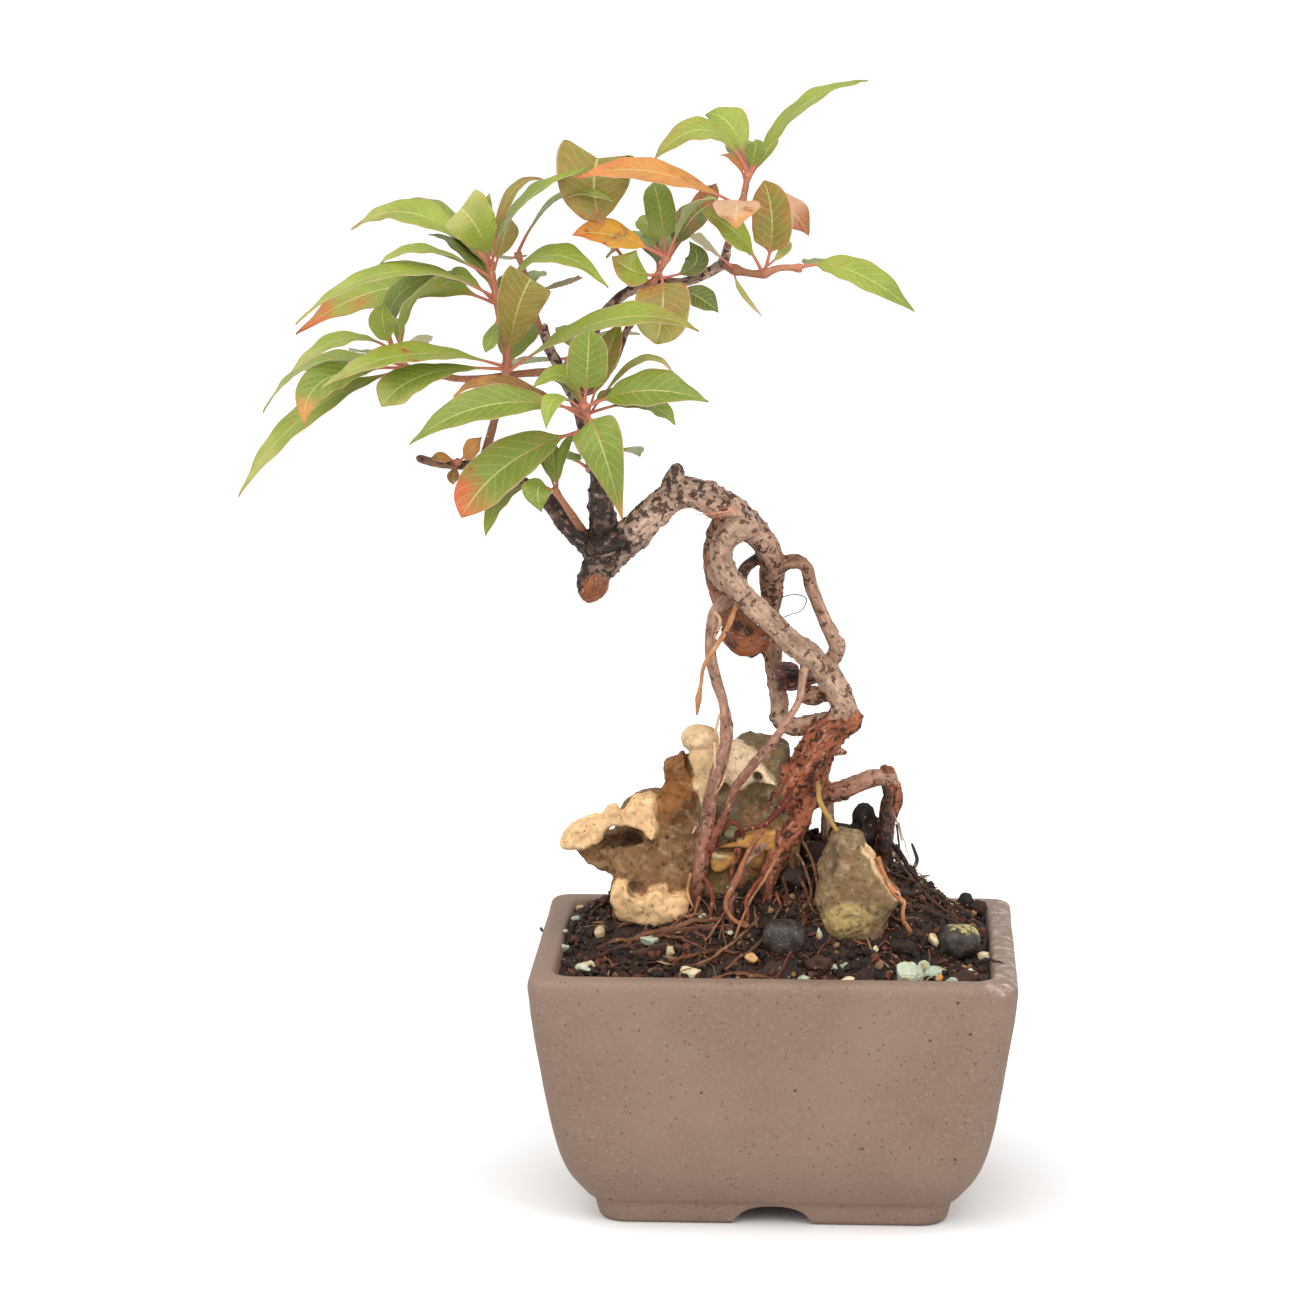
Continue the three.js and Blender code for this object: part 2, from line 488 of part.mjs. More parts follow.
const shoots = [
  { name: 'shoot_left', stem: [
    [-94, 9, 237, 1.5], [-91, 7, 247, 1.4], [-88, 5, 259, 1.3], [-86, 4, 267, 1.3], [-87, 3, 277, 1.2],
    [-89, 2, 289, 1.2], [-91, 2, 301, 1]],
  whorls: [
    { at: [-91, 2, 300], leaves: [
      [[-115, 10, 314.5], [-136, 16, 309], 14, 28],
      [[-111, 18, 315.5], [-126, 26, 313.5], 11, 10],
      [[-93, -10, 310.5], [-98.5, -14, 318.5], 15, 60, { blade: bluntBlade }],
      [[-81, -6, 318.5], [-59, -12, 331.5], 13, 20],
      [[-85, 8, 320.5], [-74, 14, 325], 6, 10],
      [[-92, 2, 312], [-91, 2, 322], 4, 80],
      [[-87.5, 10, 306.5], [-86, 18, 312.5], 9, 50],
      [[-109, -6, 304.5], [-124, -12, 301.5], 10, 12],
      [[-99, 26, 306], [-107, 46, 305], 14, -8],
    ] },
    { at: [-89, 2, 289], leaves: [
      [[-119.5, -16, 299], [-149.5, -22, 283.5], 12, 16],
      [[-72, -8, 303.5], [-53, -14, 294.5], 13, 25],
      [[-98, 14, 301], [-112, 22, 307], 12, 0],
      [[-122, 16, 290.8], [-154, 16, 275.6], 19, 40],
      [[-99, -2, 296], [-106, 0, 293], 9, 25],
      [[-83, 22, 292], [-77, 42, 293], 15, -8],
    ] },
    { at: [-86, 4, 267], leaves: [
      [[-115, -16, 273.2], [-140.5, -32, 265], 13, 25],
      [[-109, -14, 267], [-123, -22, 258], 13, 40],
      [[-82, -10, 285], [-77, -14, 297], 15, 75, { blade: bluntBlade }],
      [[-52, -20, 285], [-24, -34, 283.5], 14, 32],
      [[-84, 22, 274], [-82, 42, 280], 15, -8],
    ] },
  ] },
  { name: 'shoot_far_left', stem: [
    [-69, 4, 266, 1.4], [-77, 7, 265, 1.3], [-85, 9, 264, 1.2], [-94, 7, 263, 1.2], [-102, 3, 263.5, 1.1],
    [-110, 0, 265.5, 1.1], [-117, 0, 267, 1.1], [-121, 0, 273, 1]],
  whorls: [
    { at: [-116, 0, 267], leaves: [
      [[-147.5, -4, 253.5], [-170, -8, 227], 14, 22],
      [[-140.5, -14, 265.5], [-147, -24, 252], 14, 32],
      [[-145, 6, 268], [-164.5, 12, 251], 13, 15],
    ] },
    { at: [-121, 0, 272], leaves: [
      [[-136, -6, 277], [-152.5, -12, 267], 11, 15],
      [[-123.5, -10, 281.5], [-122.5, -13, 289], 9, 60],
      [[-120.5, -8, 288.3], [-106, -2, 297.5], 11, 25],
      [[-116, 2, 287.5], [-103.5, 3, 297.5], 8, 10],
      [[-130, 22, 269], [-139, 42, 267], 14, -8],
    ] },
  ] },
  { name: 'shoot_crown_left', stem: [[-72, 5, 271, 1.2], [-76, 7, 280, 1], [-79, 9, 291, 1], [-83, 10, 303, 0.9]],
  whorls: [
    { at: [-83, 10, 302], leaves: [
      [[-69.5, 4, 320], [-52, -2, 319], 12, 22],
      [[-87, 27, 299], [-90, 44, 297], 13, -8],
    ] },
    { at: [-79, 9, 291], leaves: [
      [[-69, 4, 293], [-62, 0, 296], 10, 12],
    ] },
  ] },
  { name: 'shoot_middle', stem: [[-47, -4, 281, 1.2], [-45, -3, 285, 1.1], [-40, -1, 294, 1.1], [-35, 0, 303, 1]],
  whorls: [
    { at: [-35, 0, 302], leaves: [
      [[-51, -6, 309.5], [-64, -12, 310.5], 12, 45],
      [[-44, 6, 307], [-55, 12, 301], 12, 0],
      [[-37.3, 4, 315], [-40, 8, 325], 9.5, 70],
      [[-41, 12, 310], [-45, 18, 313], 8, 40],
      [[-28, -5, 317], [-19.5, -9, 321.5], 10, 5],
      [[-29, 10, 312], [-21, 18, 318], 12, 25],
      [[-26, 20, 315], [-21, 28, 323], 8, 40],
      [[-36, -11, 290], [-38, -13, 277], 17, 85],
      [[-45, -6, 298.5], [-52, -8, 303.5], 13, 50],
      [[-40, 24, 305], [-43, 46, 305], 15, -8],
    ] },
    { at: [-40, -1, 294], leaves: [
      [[-54.8, -14, 314.7], [-56.2, -16, 335.7], 23, 70, { blade: bluntBlade, stalk: 0.5 }],
      [[-29, -3, 292], [-19, -6, 286], 9.5, 40, { stalk: 0.4 }],
    ] },
  ] },
  { name: 'shoot_top', stem: [[-17.5, 8, 302, 1.3], [-16, 7, 307, 1.3], [-14, 6, 312, 1.2], [-12, 5, 319, 1.1], [-10, 5, 329, 1]],
  whorls: [
    { at: [-10, 5, 328], leaves: [
      [[-23, 0, 342], [-39, -6, 333.5], 13, 28],
      [[-15.5, 12, 342], [-24, 18, 345.5], 13, 40],
      [[5.5, 2, 348.5], [27, -4, 358], 12, 22],
      [[-8, 4, 335], [-8, 4, 339], 7, 60],
      [[-5, 8, 334], [-1, 14, 339], 4, 30],
      [[-12, 22, 333], [-17.5, 40, 338.5], 11, -8],
    ] },
    { at: [-12, 5, 319], leaves: [
      [[-13, -12, 320], [-13, -24, 314], 15, 60],
      [[0, 16, 317.2], [8.6, 18, 307.7], 14, 35],
      [[-39, -4, 328.5], [-63, -8, 326.5], 12, 38],
      [[-11.5, 22, 317], [-12, 40, 312], 12, -8],
    ] },
  ] },
  { name: 'shoot_right', stem: [[-19, 8, 300, 1.4], [-14, 6, 298, 1.3], [-6, 4, 297, 1.2], [0, 3, 299, 1.1], [7, 3, 299, 1]],
  whorls: [
    { at: [6, 3, 299], leaves: [
      [[22, -2, 298.7], [42, -10, 287], 13, 32],
      [[13, 20, 299], [22, 38, 297], 13, -8],
    ] },
    { at: [-5, 4, 297.5], leaves: [
      [[-2.5, 4, 311.7], [-5, 2, 326.3], 12.5, 75],
      [[-13, -6, 310], [-24, -10, 318], 14, 40],
    ] },
    { at: [-14, 6, 298], leaves: [
      [[-23, 0, 306], [-28, -2, 309], 9, 25],
    ] },
  ] },
  { name: 'shoot_front', stem: [[-59, 0, 242, 1.4], [-58, -6, 246, 1.3], [-59, -12, 250, 1.2], [-60, -21, 259, 1]],
  whorls: [
    { at: [-60, -20, 258], leaves: [
      [[-58.7, -26, 271], [-58, -28, 283], 12.5, 80],
      [[-41, -28, 264], [-21, -36, 262], 16, 42],
      [[-52, -14, 261], [-42, -10, 260], 9, 5],
      [[-53.7, -30, 245.9], [-48, -24, 223], 15, 88, { blade: earlyBlade }],
      [[-89, -26, 259], [-113, -36, 248], 14, 42],
      [[-68, -28, 261.5], [-71, -34, 253], 7, 25],
      [[-43, -14, 258], [-32, -16, 252], 11, 20],
      [[-66, -16, 266.5], [-76, -20, 263.8], 9, 30],
      [[-54, -16, 271], [-49, -14, 284], 8, 60],
      [[-44, -14, 271], [-32.5, -12, 267], 6, 15],
      [[-85, -12, 263.5], [-101, -18, 260.5], 10, 14],
    ] },
    { at: [-59, -12, 250], leaves: [
      [[-83, -18, 240], [-98, -26, 224], 17, 50, { blade: fullBlade }],
    ] },
  ] },
  { name: 'shoot_low', stem: [[-62, 1, 215.5, 1.4], [-65, -5, 221.5, 1.3], [-70, -13, 231, 0.9]],
  whorls: [
    { at: [-70, -12, 230], leaves: [
      [[-84, -16, 230], [-91, -20, 217], 10, 10],
      [[-74, -24, 233], [-73, -28, 226], 10, 70],
      [[-70, -10, 237], [-71.5, -8, 246], 6, 60],
      [[-68, -10, 240], [-64.2, -8, 248], 3.5, 60],
    ] },
  ] },
  { name: 'spur_rust', stem: [[-102, 9, 235.5, 1], [-102, 6, 236.5, 0.9]],
  whorls: [
    { at: [-102, 6.5, 236.3], leaves: [
      [[-98, 4, 240], [-94, 2, 245], 7, 50],
      [[-106, 4, 238], [-110, 2, 238], 4, 50],
      [[-103, 3, 233], [-103, 1, 230], 4, 60],
    ] },
  ] },
  { name: 'shoot_back', stem: [[-59, 1, 241, 1.4], [-60, 10, 236, 1.2], [-61, 21, 232, 1]],
  whorls: [
    { at: [-61, 20, 232], leaves: [
      [[-71, 30, 235], [-85, 44, 231], 15, -8],
      [[-53, 30, 237], [-46, 44, 233], 14, -8],
      [[-62, 38, 239], [-64, 58, 236], 15, -8],
    ] },
  ] },
  { name: 'shoot_crown_back', stem: [[-67, 3, 263, 1.4], [-68, 10, 266, 1.2], [-67, 19, 268, 1]],
  whorls: [
    { at: [-67, 18, 268], leaves: [
      [[-78, 28, 266], [-90, 40, 262], 14, -8],
      [[-58, 30, 273], [-46, 42, 273], 14, -8],
      [[-66, 34, 274], [-66, 54, 273], 14, -8],
    ] },
  ] },
];

// The leaves of a whorl sit a little below each other, so that each stalk meets the stem by itself
const stalkSpacing = 0.7;

function makeShoot({ stem, whorls }, number, tree) {
  const knots = stem.map((p) => new THREE.Vector3(p[0], p[1], p[2]));
  const leaves = whorls.flatMap(({ at, leaves: rows }, ring) => {
    const top = new THREE.Vector3(...at);
    const distances = knots.map((knot) => knot.distanceTo(top));
    const nearest = Math.max(1, distances.indexOf(Math.min(...distances)));
    const down = knots[nearest - 1].clone().sub(knots[nearest]).normalize();
    return rows.map((row, index) => {
      const start = top.clone().addScaledVector(down, index * stalkSpacing);
      return leaf(start, row, 1000 * number + 100 * ring + index);
    });
  });
  return largestBody(join([limb(stem, 5, 0, 9), ...leaves]).subtract(tree));
}

// The plant

const plant = new THREE.Group();

function addMesh(name, manifold, colour, roughness) {
  const material = new THREE.MeshStandardMaterial({ color: colour, roughness, metalness: 0, flatShading: true });
  const mesh = new THREE.Mesh(toGeometry(manifold), material);
  mesh.name = name;
  plant.add(mesh);
}

const treeWithGap = makeTree(gap + 0.05);
const stoneGap = gap + 0.05;
const stones = [largeStone, smallStone, ochreStone];
const stonesWithGap = stones.map((stone) => makeStone(stone, stoneGap));
const pebblesWithGap = pebbles.map(({ stone }) => makeStone(stone, stoneGap));
const grainsWithGap = grains.map((row, index) => grain(row, index, stoneGap));

addMesh('pot', makePot(), 0x967e70, 0.7);
addMesh('drain_screen', makeScreen(), 0x26282a, 0.5);
addMesh('soil', makeSoil(treeWithGap, stonesWithGap, [...pebblesWithGap, ...grainsWithGap]), 0x2e2019, 1);
addMesh('tree_wood', makeTree(0), 0x9b7a5e, 0.85);

const carveStone = (stone, cuts) => largestBody(cuts.reduce((rest, cut) => rest.subtract(cut), makeStone(stone, 0)));
addMesh('limestone_large', carveStone(largeStone, [treeWithGap, stonesWithGap[2]]), 0xc9a36c, 0.95);
addMesh('limestone_small', carveStone(smallStone, [treeWithGap]), 0xbfa274, 0.95);
addMesh('ochre_stone', carveStone(ochreStone, [treeWithGap]), 0xc58f4e, 0.9);
pebbles.forEach(({ name, stone }) => addMesh(name, makeStone(stone, 0), 0x2b2d30, 0.6));
grains.forEach((row, index) => {
  const name = `grain_${String(index + 1).padStart(2, '0')}`;
  addMesh(name, grain(row, index), pumiceGrains.includes(name) ? 0xd8c39c : 0x9db39a, 0.8);
});
shoots.forEach((shoot, number) => addMesh(shoot.name, makeShoot(shoot, number + 1, treeWithGap), 0x8fa83e, 0.5));

plant.updateMatrixWorld(true);
const box = new THREE.Box3().setFromObject(plant, true);
const middle = box.getCenter(new THREE.Vector3());
plant.position.set(-middle.x, -middle.y, -box.min.z);

export default plant;
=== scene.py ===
# Firebush bonsai: a small tree on bare roots over limestone, in an unglazed clay pot.
import math

import bmesh
import bpy
import numpy as np
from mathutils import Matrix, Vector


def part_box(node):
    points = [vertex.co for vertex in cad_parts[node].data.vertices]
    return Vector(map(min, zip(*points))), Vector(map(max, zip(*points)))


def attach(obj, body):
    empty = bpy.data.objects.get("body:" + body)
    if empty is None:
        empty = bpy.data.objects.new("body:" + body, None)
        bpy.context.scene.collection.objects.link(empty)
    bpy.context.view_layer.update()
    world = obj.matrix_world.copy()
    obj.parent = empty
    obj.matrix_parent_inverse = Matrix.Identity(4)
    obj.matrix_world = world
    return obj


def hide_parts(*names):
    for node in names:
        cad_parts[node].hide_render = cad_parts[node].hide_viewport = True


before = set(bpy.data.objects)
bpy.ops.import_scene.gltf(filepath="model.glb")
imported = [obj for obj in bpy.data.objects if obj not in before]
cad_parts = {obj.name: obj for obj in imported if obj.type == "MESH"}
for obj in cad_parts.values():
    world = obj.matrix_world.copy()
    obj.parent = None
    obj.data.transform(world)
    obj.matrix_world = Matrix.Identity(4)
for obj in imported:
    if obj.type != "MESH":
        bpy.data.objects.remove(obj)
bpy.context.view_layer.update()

# The view: a plain pale floor in soft light from above and in front. The camera is some 1.6 m away and
# looks a little down on the long side of the pot. Places are millimetres from the middle of the pot's foot.
MM = 0.001
pot_low, pot_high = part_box("pot")
pot_foot = np.array([(pot_low[0] + pot_high[0]) / 2, (pot_low[1] + pot_high[1]) / 2, pot_low[2]])


def in_frame(points):
    """Metres in the model's frame, from millimetres round the middle of the pot's foot."""
    return np.asarray(points, float) * MM + pot_foot


def light(name, place, size, power, target=(-30, 0, 180)):
    """Square soft light that faces the plant."""
    lamp = bpy.data.lights.new(name, "AREA")
    lamp.size = size
    lamp.energy = power
    holder = bpy.data.objects.new(name, lamp)
    bpy.context.scene.collection.objects.link(holder)
    holder.location = in_frame(place)
    way = in_frame(target) - in_frame(place)
    tilt = math.atan2(math.hypot(way[0], way[1]), -way[2])
    holder.rotation_euler = (tilt, 0, math.atan2(-way[0], way[1]))
    return holder


camera_data = bpy.data.cameras.new("camera")
camera_data.sensor_width = 36
camera_data.lens = 135.5
camera = bpy.data.objects.new("camera", camera_data)
bpy.context.scene.collection.objects.link(camera)
camera.location = in_frame((34.24, -1524.98, 465.94))
camera.rotation_euler = (math.radians(90 - 10.70), 0, math.radians(2.81))
bpy.context.scene.camera = camera

light("fill light", (700, -900, 900), size=0.8, power=6)
overhead = bpy.data.lights.new("overhead light", "SUN")
overhead.energy = 1.5
overhead.angle = math.radians(65)
overhead_holder = bpy.data.objects.new("overhead light", overhead)
bpy.context.scene.collection.objects.link(overhead_holder)
overhead_holder.rotation_euler = (math.radians(34), 0, math.radians(-32))


def seen_or_lighting(tree, seen, lighting):
    """One number where the camera looks straight at the thing, and another for the light it gives."""
    path = tree.nodes.new("ShaderNodeLightPath")
    blend = tree.nodes.new("ShaderNodeMix")
    tree.links.new(path.outputs["Is Camera Ray"], blend.inputs[0])
    blend.inputs[2].default_value = lighting
    blend.inputs[3].default_value = seen
    return blend.outputs[0]


world = bpy.data.worlds.new("studio")
world.use_nodes = True
sky = world.node_tree.nodes["Background"]
sky.inputs["Color"].default_value = (1, 1, 1, 1)
world.node_tree.links.new(seen_or_lighting(world.node_tree, 1.05, 0.88), sky.inputs["Strength"])
bpy.context.scene.world = world
bpy.context.scene.view_settings.view_transform = "Standard"

FLOOR_REACH = 14
floor_mesh = bpy.data.meshes.new("floor")
floor_corners = [(FLOOR_REACH * x, FLOOR_REACH * y, 0) for x, y in ((-1, -1), (1, -1), (1, 1), (-1, 1))]
floor_mesh.from_pydata(floor_corners, [], [(0, 1, 2, 3)])
floor = bpy.data.objects.new("floor", floor_mesh)
bpy.context.scene.collection.objects.link(floor)
floor_paint = bpy.data.materials.new("floor")
floor_paint.use_nodes = True
paint = floor_paint.node_tree.nodes["Principled BSDF"]
floor_shade = seen_or_lighting(floor_paint.node_tree, 0.97, 0.78)
floor_paint.node_tree.links.new(floor_shade, paint.inputs["Base Color"])
paint.inputs["Roughness"].default_value = 0.9
floor_mesh.materials.append(floor_paint)

# The pot: slab-built stoneware, unglazed, taupe with fine flecks. Its walls curve out from a low foot, which
# is open in the middle of the long sides. Lime has bloomed on the rim and on the right of the front.
POT_HALF = (76.0, 59.0)
POT_HEIGHT = 84.0
FLOOR_TOP = 14.0
RECESS = 7.2
DRAIN_RADIUS = 8.0
ARCH_HALF = 12.9
ARCH_HEIGHT = 6.4
depth_less = POT_HALF[0] - POT_HALF[1]


class Skin:
    """Points in mm, squares, triangles and point values of all the parts that make up one piece."""

    def __init__(self):
        self.points, self.squares, self.triangles = [], [], []
        self.kinds = {"squares": [], "triangles": []}
        self.values = {}
        self.count = 0

    def add(self, points, squares=None, triangles=None, kind=0, **values):
        """One more part. kind is the place of its material among the piece's materials."""
        for name, faces in (("squares", squares), ("triangles", triangles)):
            if faces is not None and len(faces):
                getattr(self, name).append(np.asarray(faces) + self.count)
                self.kinds[name].append(np.full(len(faces), kind))
        for name, value in values.items():
            value = np.asarray(value, float)
            many = value.ndim and value.shape[-1] in (2, 3, 4)
            shape = (len(points),) + (value.shape[-1:] if many else ())
            self.values.setdefault(name, []).append(np.broadcast_to(value, shape))
        self.points.append(points)
        self.count += len(points)


def dress(name, skin, materials, nodes=(), crease=None):
    mesh = bpy.data.meshes.new(name)
    corners, starts, kinds = [], [], []
    total = 0
    for faces, kind, size in ((skin.squares, "squares", 4), (skin.triangles, "triangles", 3)):
        if faces:
            block = np.concatenate(faces)
            corners.append(block.ravel())
            starts.append(total + size * np.arange(len(block)))
            kinds.append(np.concatenate(skin.kinds[kind]))
            total += block.size
    corners, starts, kinds = np.concatenate(corners), np.concatenate(starts), np.concatenate(kinds)
    mesh.vertices.add(skin.count)
    mesh.vertices.foreach_set("co", in_frame(np.concatenate(skin.points)).ravel())
    mesh.loops.add(len(corners))
    mesh.loops.foreach_set("vertex_index", corners.astype(np.int32))
    mesh.polygons.add(len(starts))
    mesh.polygons.foreach_set("loop_start", starts.astype(np.int32))
    mesh.polygons.foreach_set("material_index", kinds.astype(np.int32))
    mesh.update(calc_edges=True)
    mesh.validate()
    mesh.shade_smooth()
    if crease is not None:
        mesh.set_sharp_from_angle(angle=math.radians(crease))
    for key, parts in skin.values.items():
        value = np.concatenate(parts)
        if key == "uv":
            layer = mesh.uv_layers.new(name="leaf")
            layer.uv.foreach_set("vector", value[corners].ravel())
        elif value.ndim == 1:
            mesh.attributes.new(key, "FLOAT", "POINT").data.foreach_set("value", value)
        else:
            colour = np.column_stack([value, np.ones(len(value))])
            mesh.attributes.new(key, "FLOAT_COLOR", "POINT").data.foreach_set("color", colour.ravel())
    for material in materials:
        mesh.materials.append(material)
    made = bpy.data.objects.new(name, mesh)
    bpy.context.scene.collection.objects.link(made)
    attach(made, "root")
    if nodes:
        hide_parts(*nodes)
    return made


def tone(text):
    """Linear colour from a six-letter hex colour."""
    shares = [int(text[i:i + 2], 16) / 255 for i in (0, 2, 4)]
    return tuple(s / 12.92 if s <= 0.04045 else ((s + 0.055) / 1.055) ** 2.4 for s in shares)


def soft(low, high, value):
    """Smooth step from 0 at low to 1 at high."""
    share = np.clip((value - low) / (high - low), 0, 1)
    return share * share * (3 - 2 * share)


def chance(cells, seed):
    """Random number from 0 to 1 for each whole-number cell, the same each time."""
    i, j, k = cells.T
    mixed = (i * 374761393 + j * 668265263 + k * 1440662683 + seed * 144665) & 0xFFFFFFFF
    mixed = ((mixed ^ (mixed >> 13)) * 1274126177) & 0xFFFFFFFF
    return (mixed ^ (mixed >> 16)) / 4294967296.0


def noise(points, size, seed=0, octaves=3):
    """Random relief from about -1 to 1: values at lattice corners size mm apart, blended by a smooth step,
    with finer octaves at half the size and half the height."""
    total = np.zeros(len(points))
    height, sum_of_heights = 1.0, 0.0
    for octave in range(octaves):
        place = points / (size / 2 ** octave) + 17.3 * octave
        low = np.floor(place)
        part = place - low
        part = part * part * (3 - 2 * part)
        low = low.astype(np.int64)
        value = np.zeros(len(points))
        for corner in np.ndindex(2, 2, 2):
            share = np.where(corner, part, 1 - part).prod(axis=1)
            value += share * (2 * chance(low + corner, seed + octave) - 1)
        total += height * value
        sum_of_heights += height
        height /= 2
    return total / sum_of_heights * 1.6


def wrap(rows, columns, first=0, loop=False):
    """Squares between neighbouring rings of points; with loop, the last ring runs back into the first."""
    i = np.arange(rows if loop else rows - 1)[:, None]
    j = np.arange(columns)[None, :]
    here, onward, k = i * columns, ((i + 1) % rows) * columns, (j + 1) % columns
    return first + np.stack([here + j, here + k, onward + k, onward + j], -1).reshape(-1, 4)


class Nodes:
    """Adds nodes to a material's or group's tree and gives back their output sockets."""

    def __init__(self, tree):
        self.tree = tree

    def add(self, kind, output=0, settings=None, **inputs):
        """A node with its settings; an input that is a socket is linked, and any other is stored."""
        made = self.tree.nodes.new(kind)
        for name, value in (settings or {}).items():
            setattr(made, name, value)
        for name, value in inputs.items():
            self.set(made.inputs[name.replace("_", " ")], value)
        return made.outputs[output]

    def set(self, socket, value):
        """Links the socket to another one, or stores a value in it."""
        if isinstance(value, bpy.types.NodeSocket):
            self.tree.links.new(value, socket)
        elif isinstance(value, (tuple, list)) and socket.type == "RGBA":
            socket.default_value = (*value[:3], 1)
        else:
            socket.default_value = value

    def mix(self, share, low, high):
        """Colour between low and high."""
        made = self.tree.nodes.new("ShaderNodeMix")
        made.data_type = "RGBA"
        for index, value in ((0, share), (6, low), (7, high)):
            self.set(made.inputs[index], value)
        return made.outputs[2]

    def sum(self, kind, first, second=0.0, third=0.0):
        """Arithmetic on one, two or three numbers."""
        made = self.tree.nodes.new("ShaderNodeMath")
        made.operation = kind
        for index, value in enumerate((first, second, third)):
            self.set(made.inputs[index], value)
        return made.outputs[0]

    def step(self, value, low, high, start=0.0, end=1.0):
        """Smooth step from start to end as value goes from low to high."""
        return self.add("ShaderNodeMapRange", settings={"interpolation_type": "SMOOTHSTEP"}, Value=value,
                        From_Min=low, From_Max=high, To_Min=start, To_Max=end)

    def group(self, group, output, **inputs):
        """A group's output; its inputs are named as in the group."""
        return self.add("ShaderNodeGroup", output, {"node_tree": group}, **inputs)

    def carried(self, name, output="Fac"):
        """A value that the points carry: a number, or its Color or Vector."""
        return self.add("ShaderNodeAttribute", output, {"attribute_name": name})

    def cloud(self, place, scale, detail):
        """Noise around 0.5."""
        return self.group(patches, "Noise", Vector=place, Scale=scale, Detail=detail)

    def patch(self, place, scale, detail, low, high):
        """Patches: noise cut between two levels."""
        return self.group(patches, "Mask", Vector=place, Scale=scale, Detail=detail, Low=low, High=high)

    def dots(self, place, scale, radius, share):
        """Round dots in a share of the cells."""
        return self.group(specks, "Mask", Vector=place, Scale=scale, Radius=radius, Share=share)

    def gritty(self, place, scale, swell):
        """Height of fine grit over a coarser swell."""
        return self.group(grit, "Height", Vector=place, Scale=scale, Swell=swell)

    def stain(self, colour, mask, text, share=None):
        """The colour, with the one in the text over it where the mask is 1, or a share of it."""
        if share is not None:
            mask = self.sum("MULTIPLY", mask, share)
        return self.mix(mask, colour, tone(text))

    def coat(self, colour, height, strength, distance, roughness=None):
        """Gives the shader its colour, a bump whose height is the distance in metres, and its roughness."""
        inputs = self.tree.nodes["Principled BSDF"].inputs
        bump = self.add("ShaderNodeBump", Height=height, Strength=strength, Distance=distance)
        self.set(inputs["Base Color"], colour)
        self.set(inputs["Normal"], bump)
        if roughness is not None:
            self.set(inputs["Roughness"], roughness)


def new_group(name, inputs, outputs):
    """Empty node group with number or vector inputs, given as {name: default}, and number outputs."""
    group = bpy.data.node_groups.new(name, "ShaderNodeTree")
    for key, value in inputs.items():
        kind = "NodeSocketVector" if value is None else "NodeSocketFloat"
        socket = group.interface.new_socket(name=key, in_out="INPUT", socket_type=kind)
        if value is not None:
            socket.default_value = value
    for key in outputs:
        group.interface.new_socket(name=key, in_out="OUTPUT", socket_type="NodeSocketFloat")
    given = group.nodes.new("NodeGroupInput").outputs
    return group, Nodes(group), given, group.nodes.new("NodeGroupOutput").inputs


def new_material(name, roughness, specular=0.5):
    """Material with its nodes and the place of a point in the model."""
    material = bpy.data.materials.new(name)
    material.use_nodes = True
    nodes = Nodes(material.node_tree)
    inputs = material.node_tree.nodes["Principled BSDF"].inputs
    inputs["Roughness"].default_value = roughness
    inputs["Specular IOR Level"].default_value = specular
    return material, nodes, nodes.add("ShaderNodeTexCoord", output="Object")


# Patches: noise cut between two levels, for stains and worn places of any size
patches, nodes, given, result = new_group(
    "patches", {"Vector": None, "Scale": 50, "Detail": 4, "Low": 0.45, "High": 0.6}, ["Mask", "Noise"])
cloud = nodes.add("ShaderNodeTexNoise", Vector=given["Vector"], Scale=given["Scale"],
                  Detail=given["Detail"], Roughness=0.6)
nodes.set(result["Mask"], nodes.step(cloud, given["Low"], given["High"]))
nodes.set(result["Noise"], cloud)

# Specks: round dots in some of the cells of a Voronoi pattern
specks, nodes, given, result = new_group(
    "specks", {"Vector": None, "Scale": 500, "Radius": 0.3, "Share": 0.3}, ["Mask"])
cells = nodes.tree.nodes.new("ShaderNodeTexVoronoi")
nodes.set(cells.inputs["Vector"], given["Vector"])
nodes.set(cells.inputs["Scale"], given["Scale"])
edge = nodes.sum("MULTIPLY", given["Radius"], 0.6)
dot = nodes.step(cells.outputs["Distance"], edge, given["Radius"], 1.0, 0.0)
pick = nodes.add("ShaderNodeSeparateColor", Color=cells.outputs["Color"])
chosen = nodes.sum("LESS_THAN", pick, given["Share"])
nodes.set(result["Mask"], nodes.sum("MULTIPLY", dot, chosen))

# Grit: fine height at a given scale with a coarser swell under it
grit, nodes, given, result = new_group("grit", {"Vector": None, "Scale": 800, "Swell": 0.5}, ["Height"])
fine = nodes.add("ShaderNodeTexNoise", Vector=given["Vector"], Scale=given["Scale"],
                 Detail=5, Roughness=0.65)
slow_scale = nodes.sum("MULTIPLY", given["Scale"], 0.17)
slow = nodes.add("ShaderNodeTexNoise", Vector=given["Vector"], Scale=slow_scale, Detail=2)
nodes.set(result["Height"], nodes.sum("MULTIPLY_ADD", slow, given["Swell"], fine))

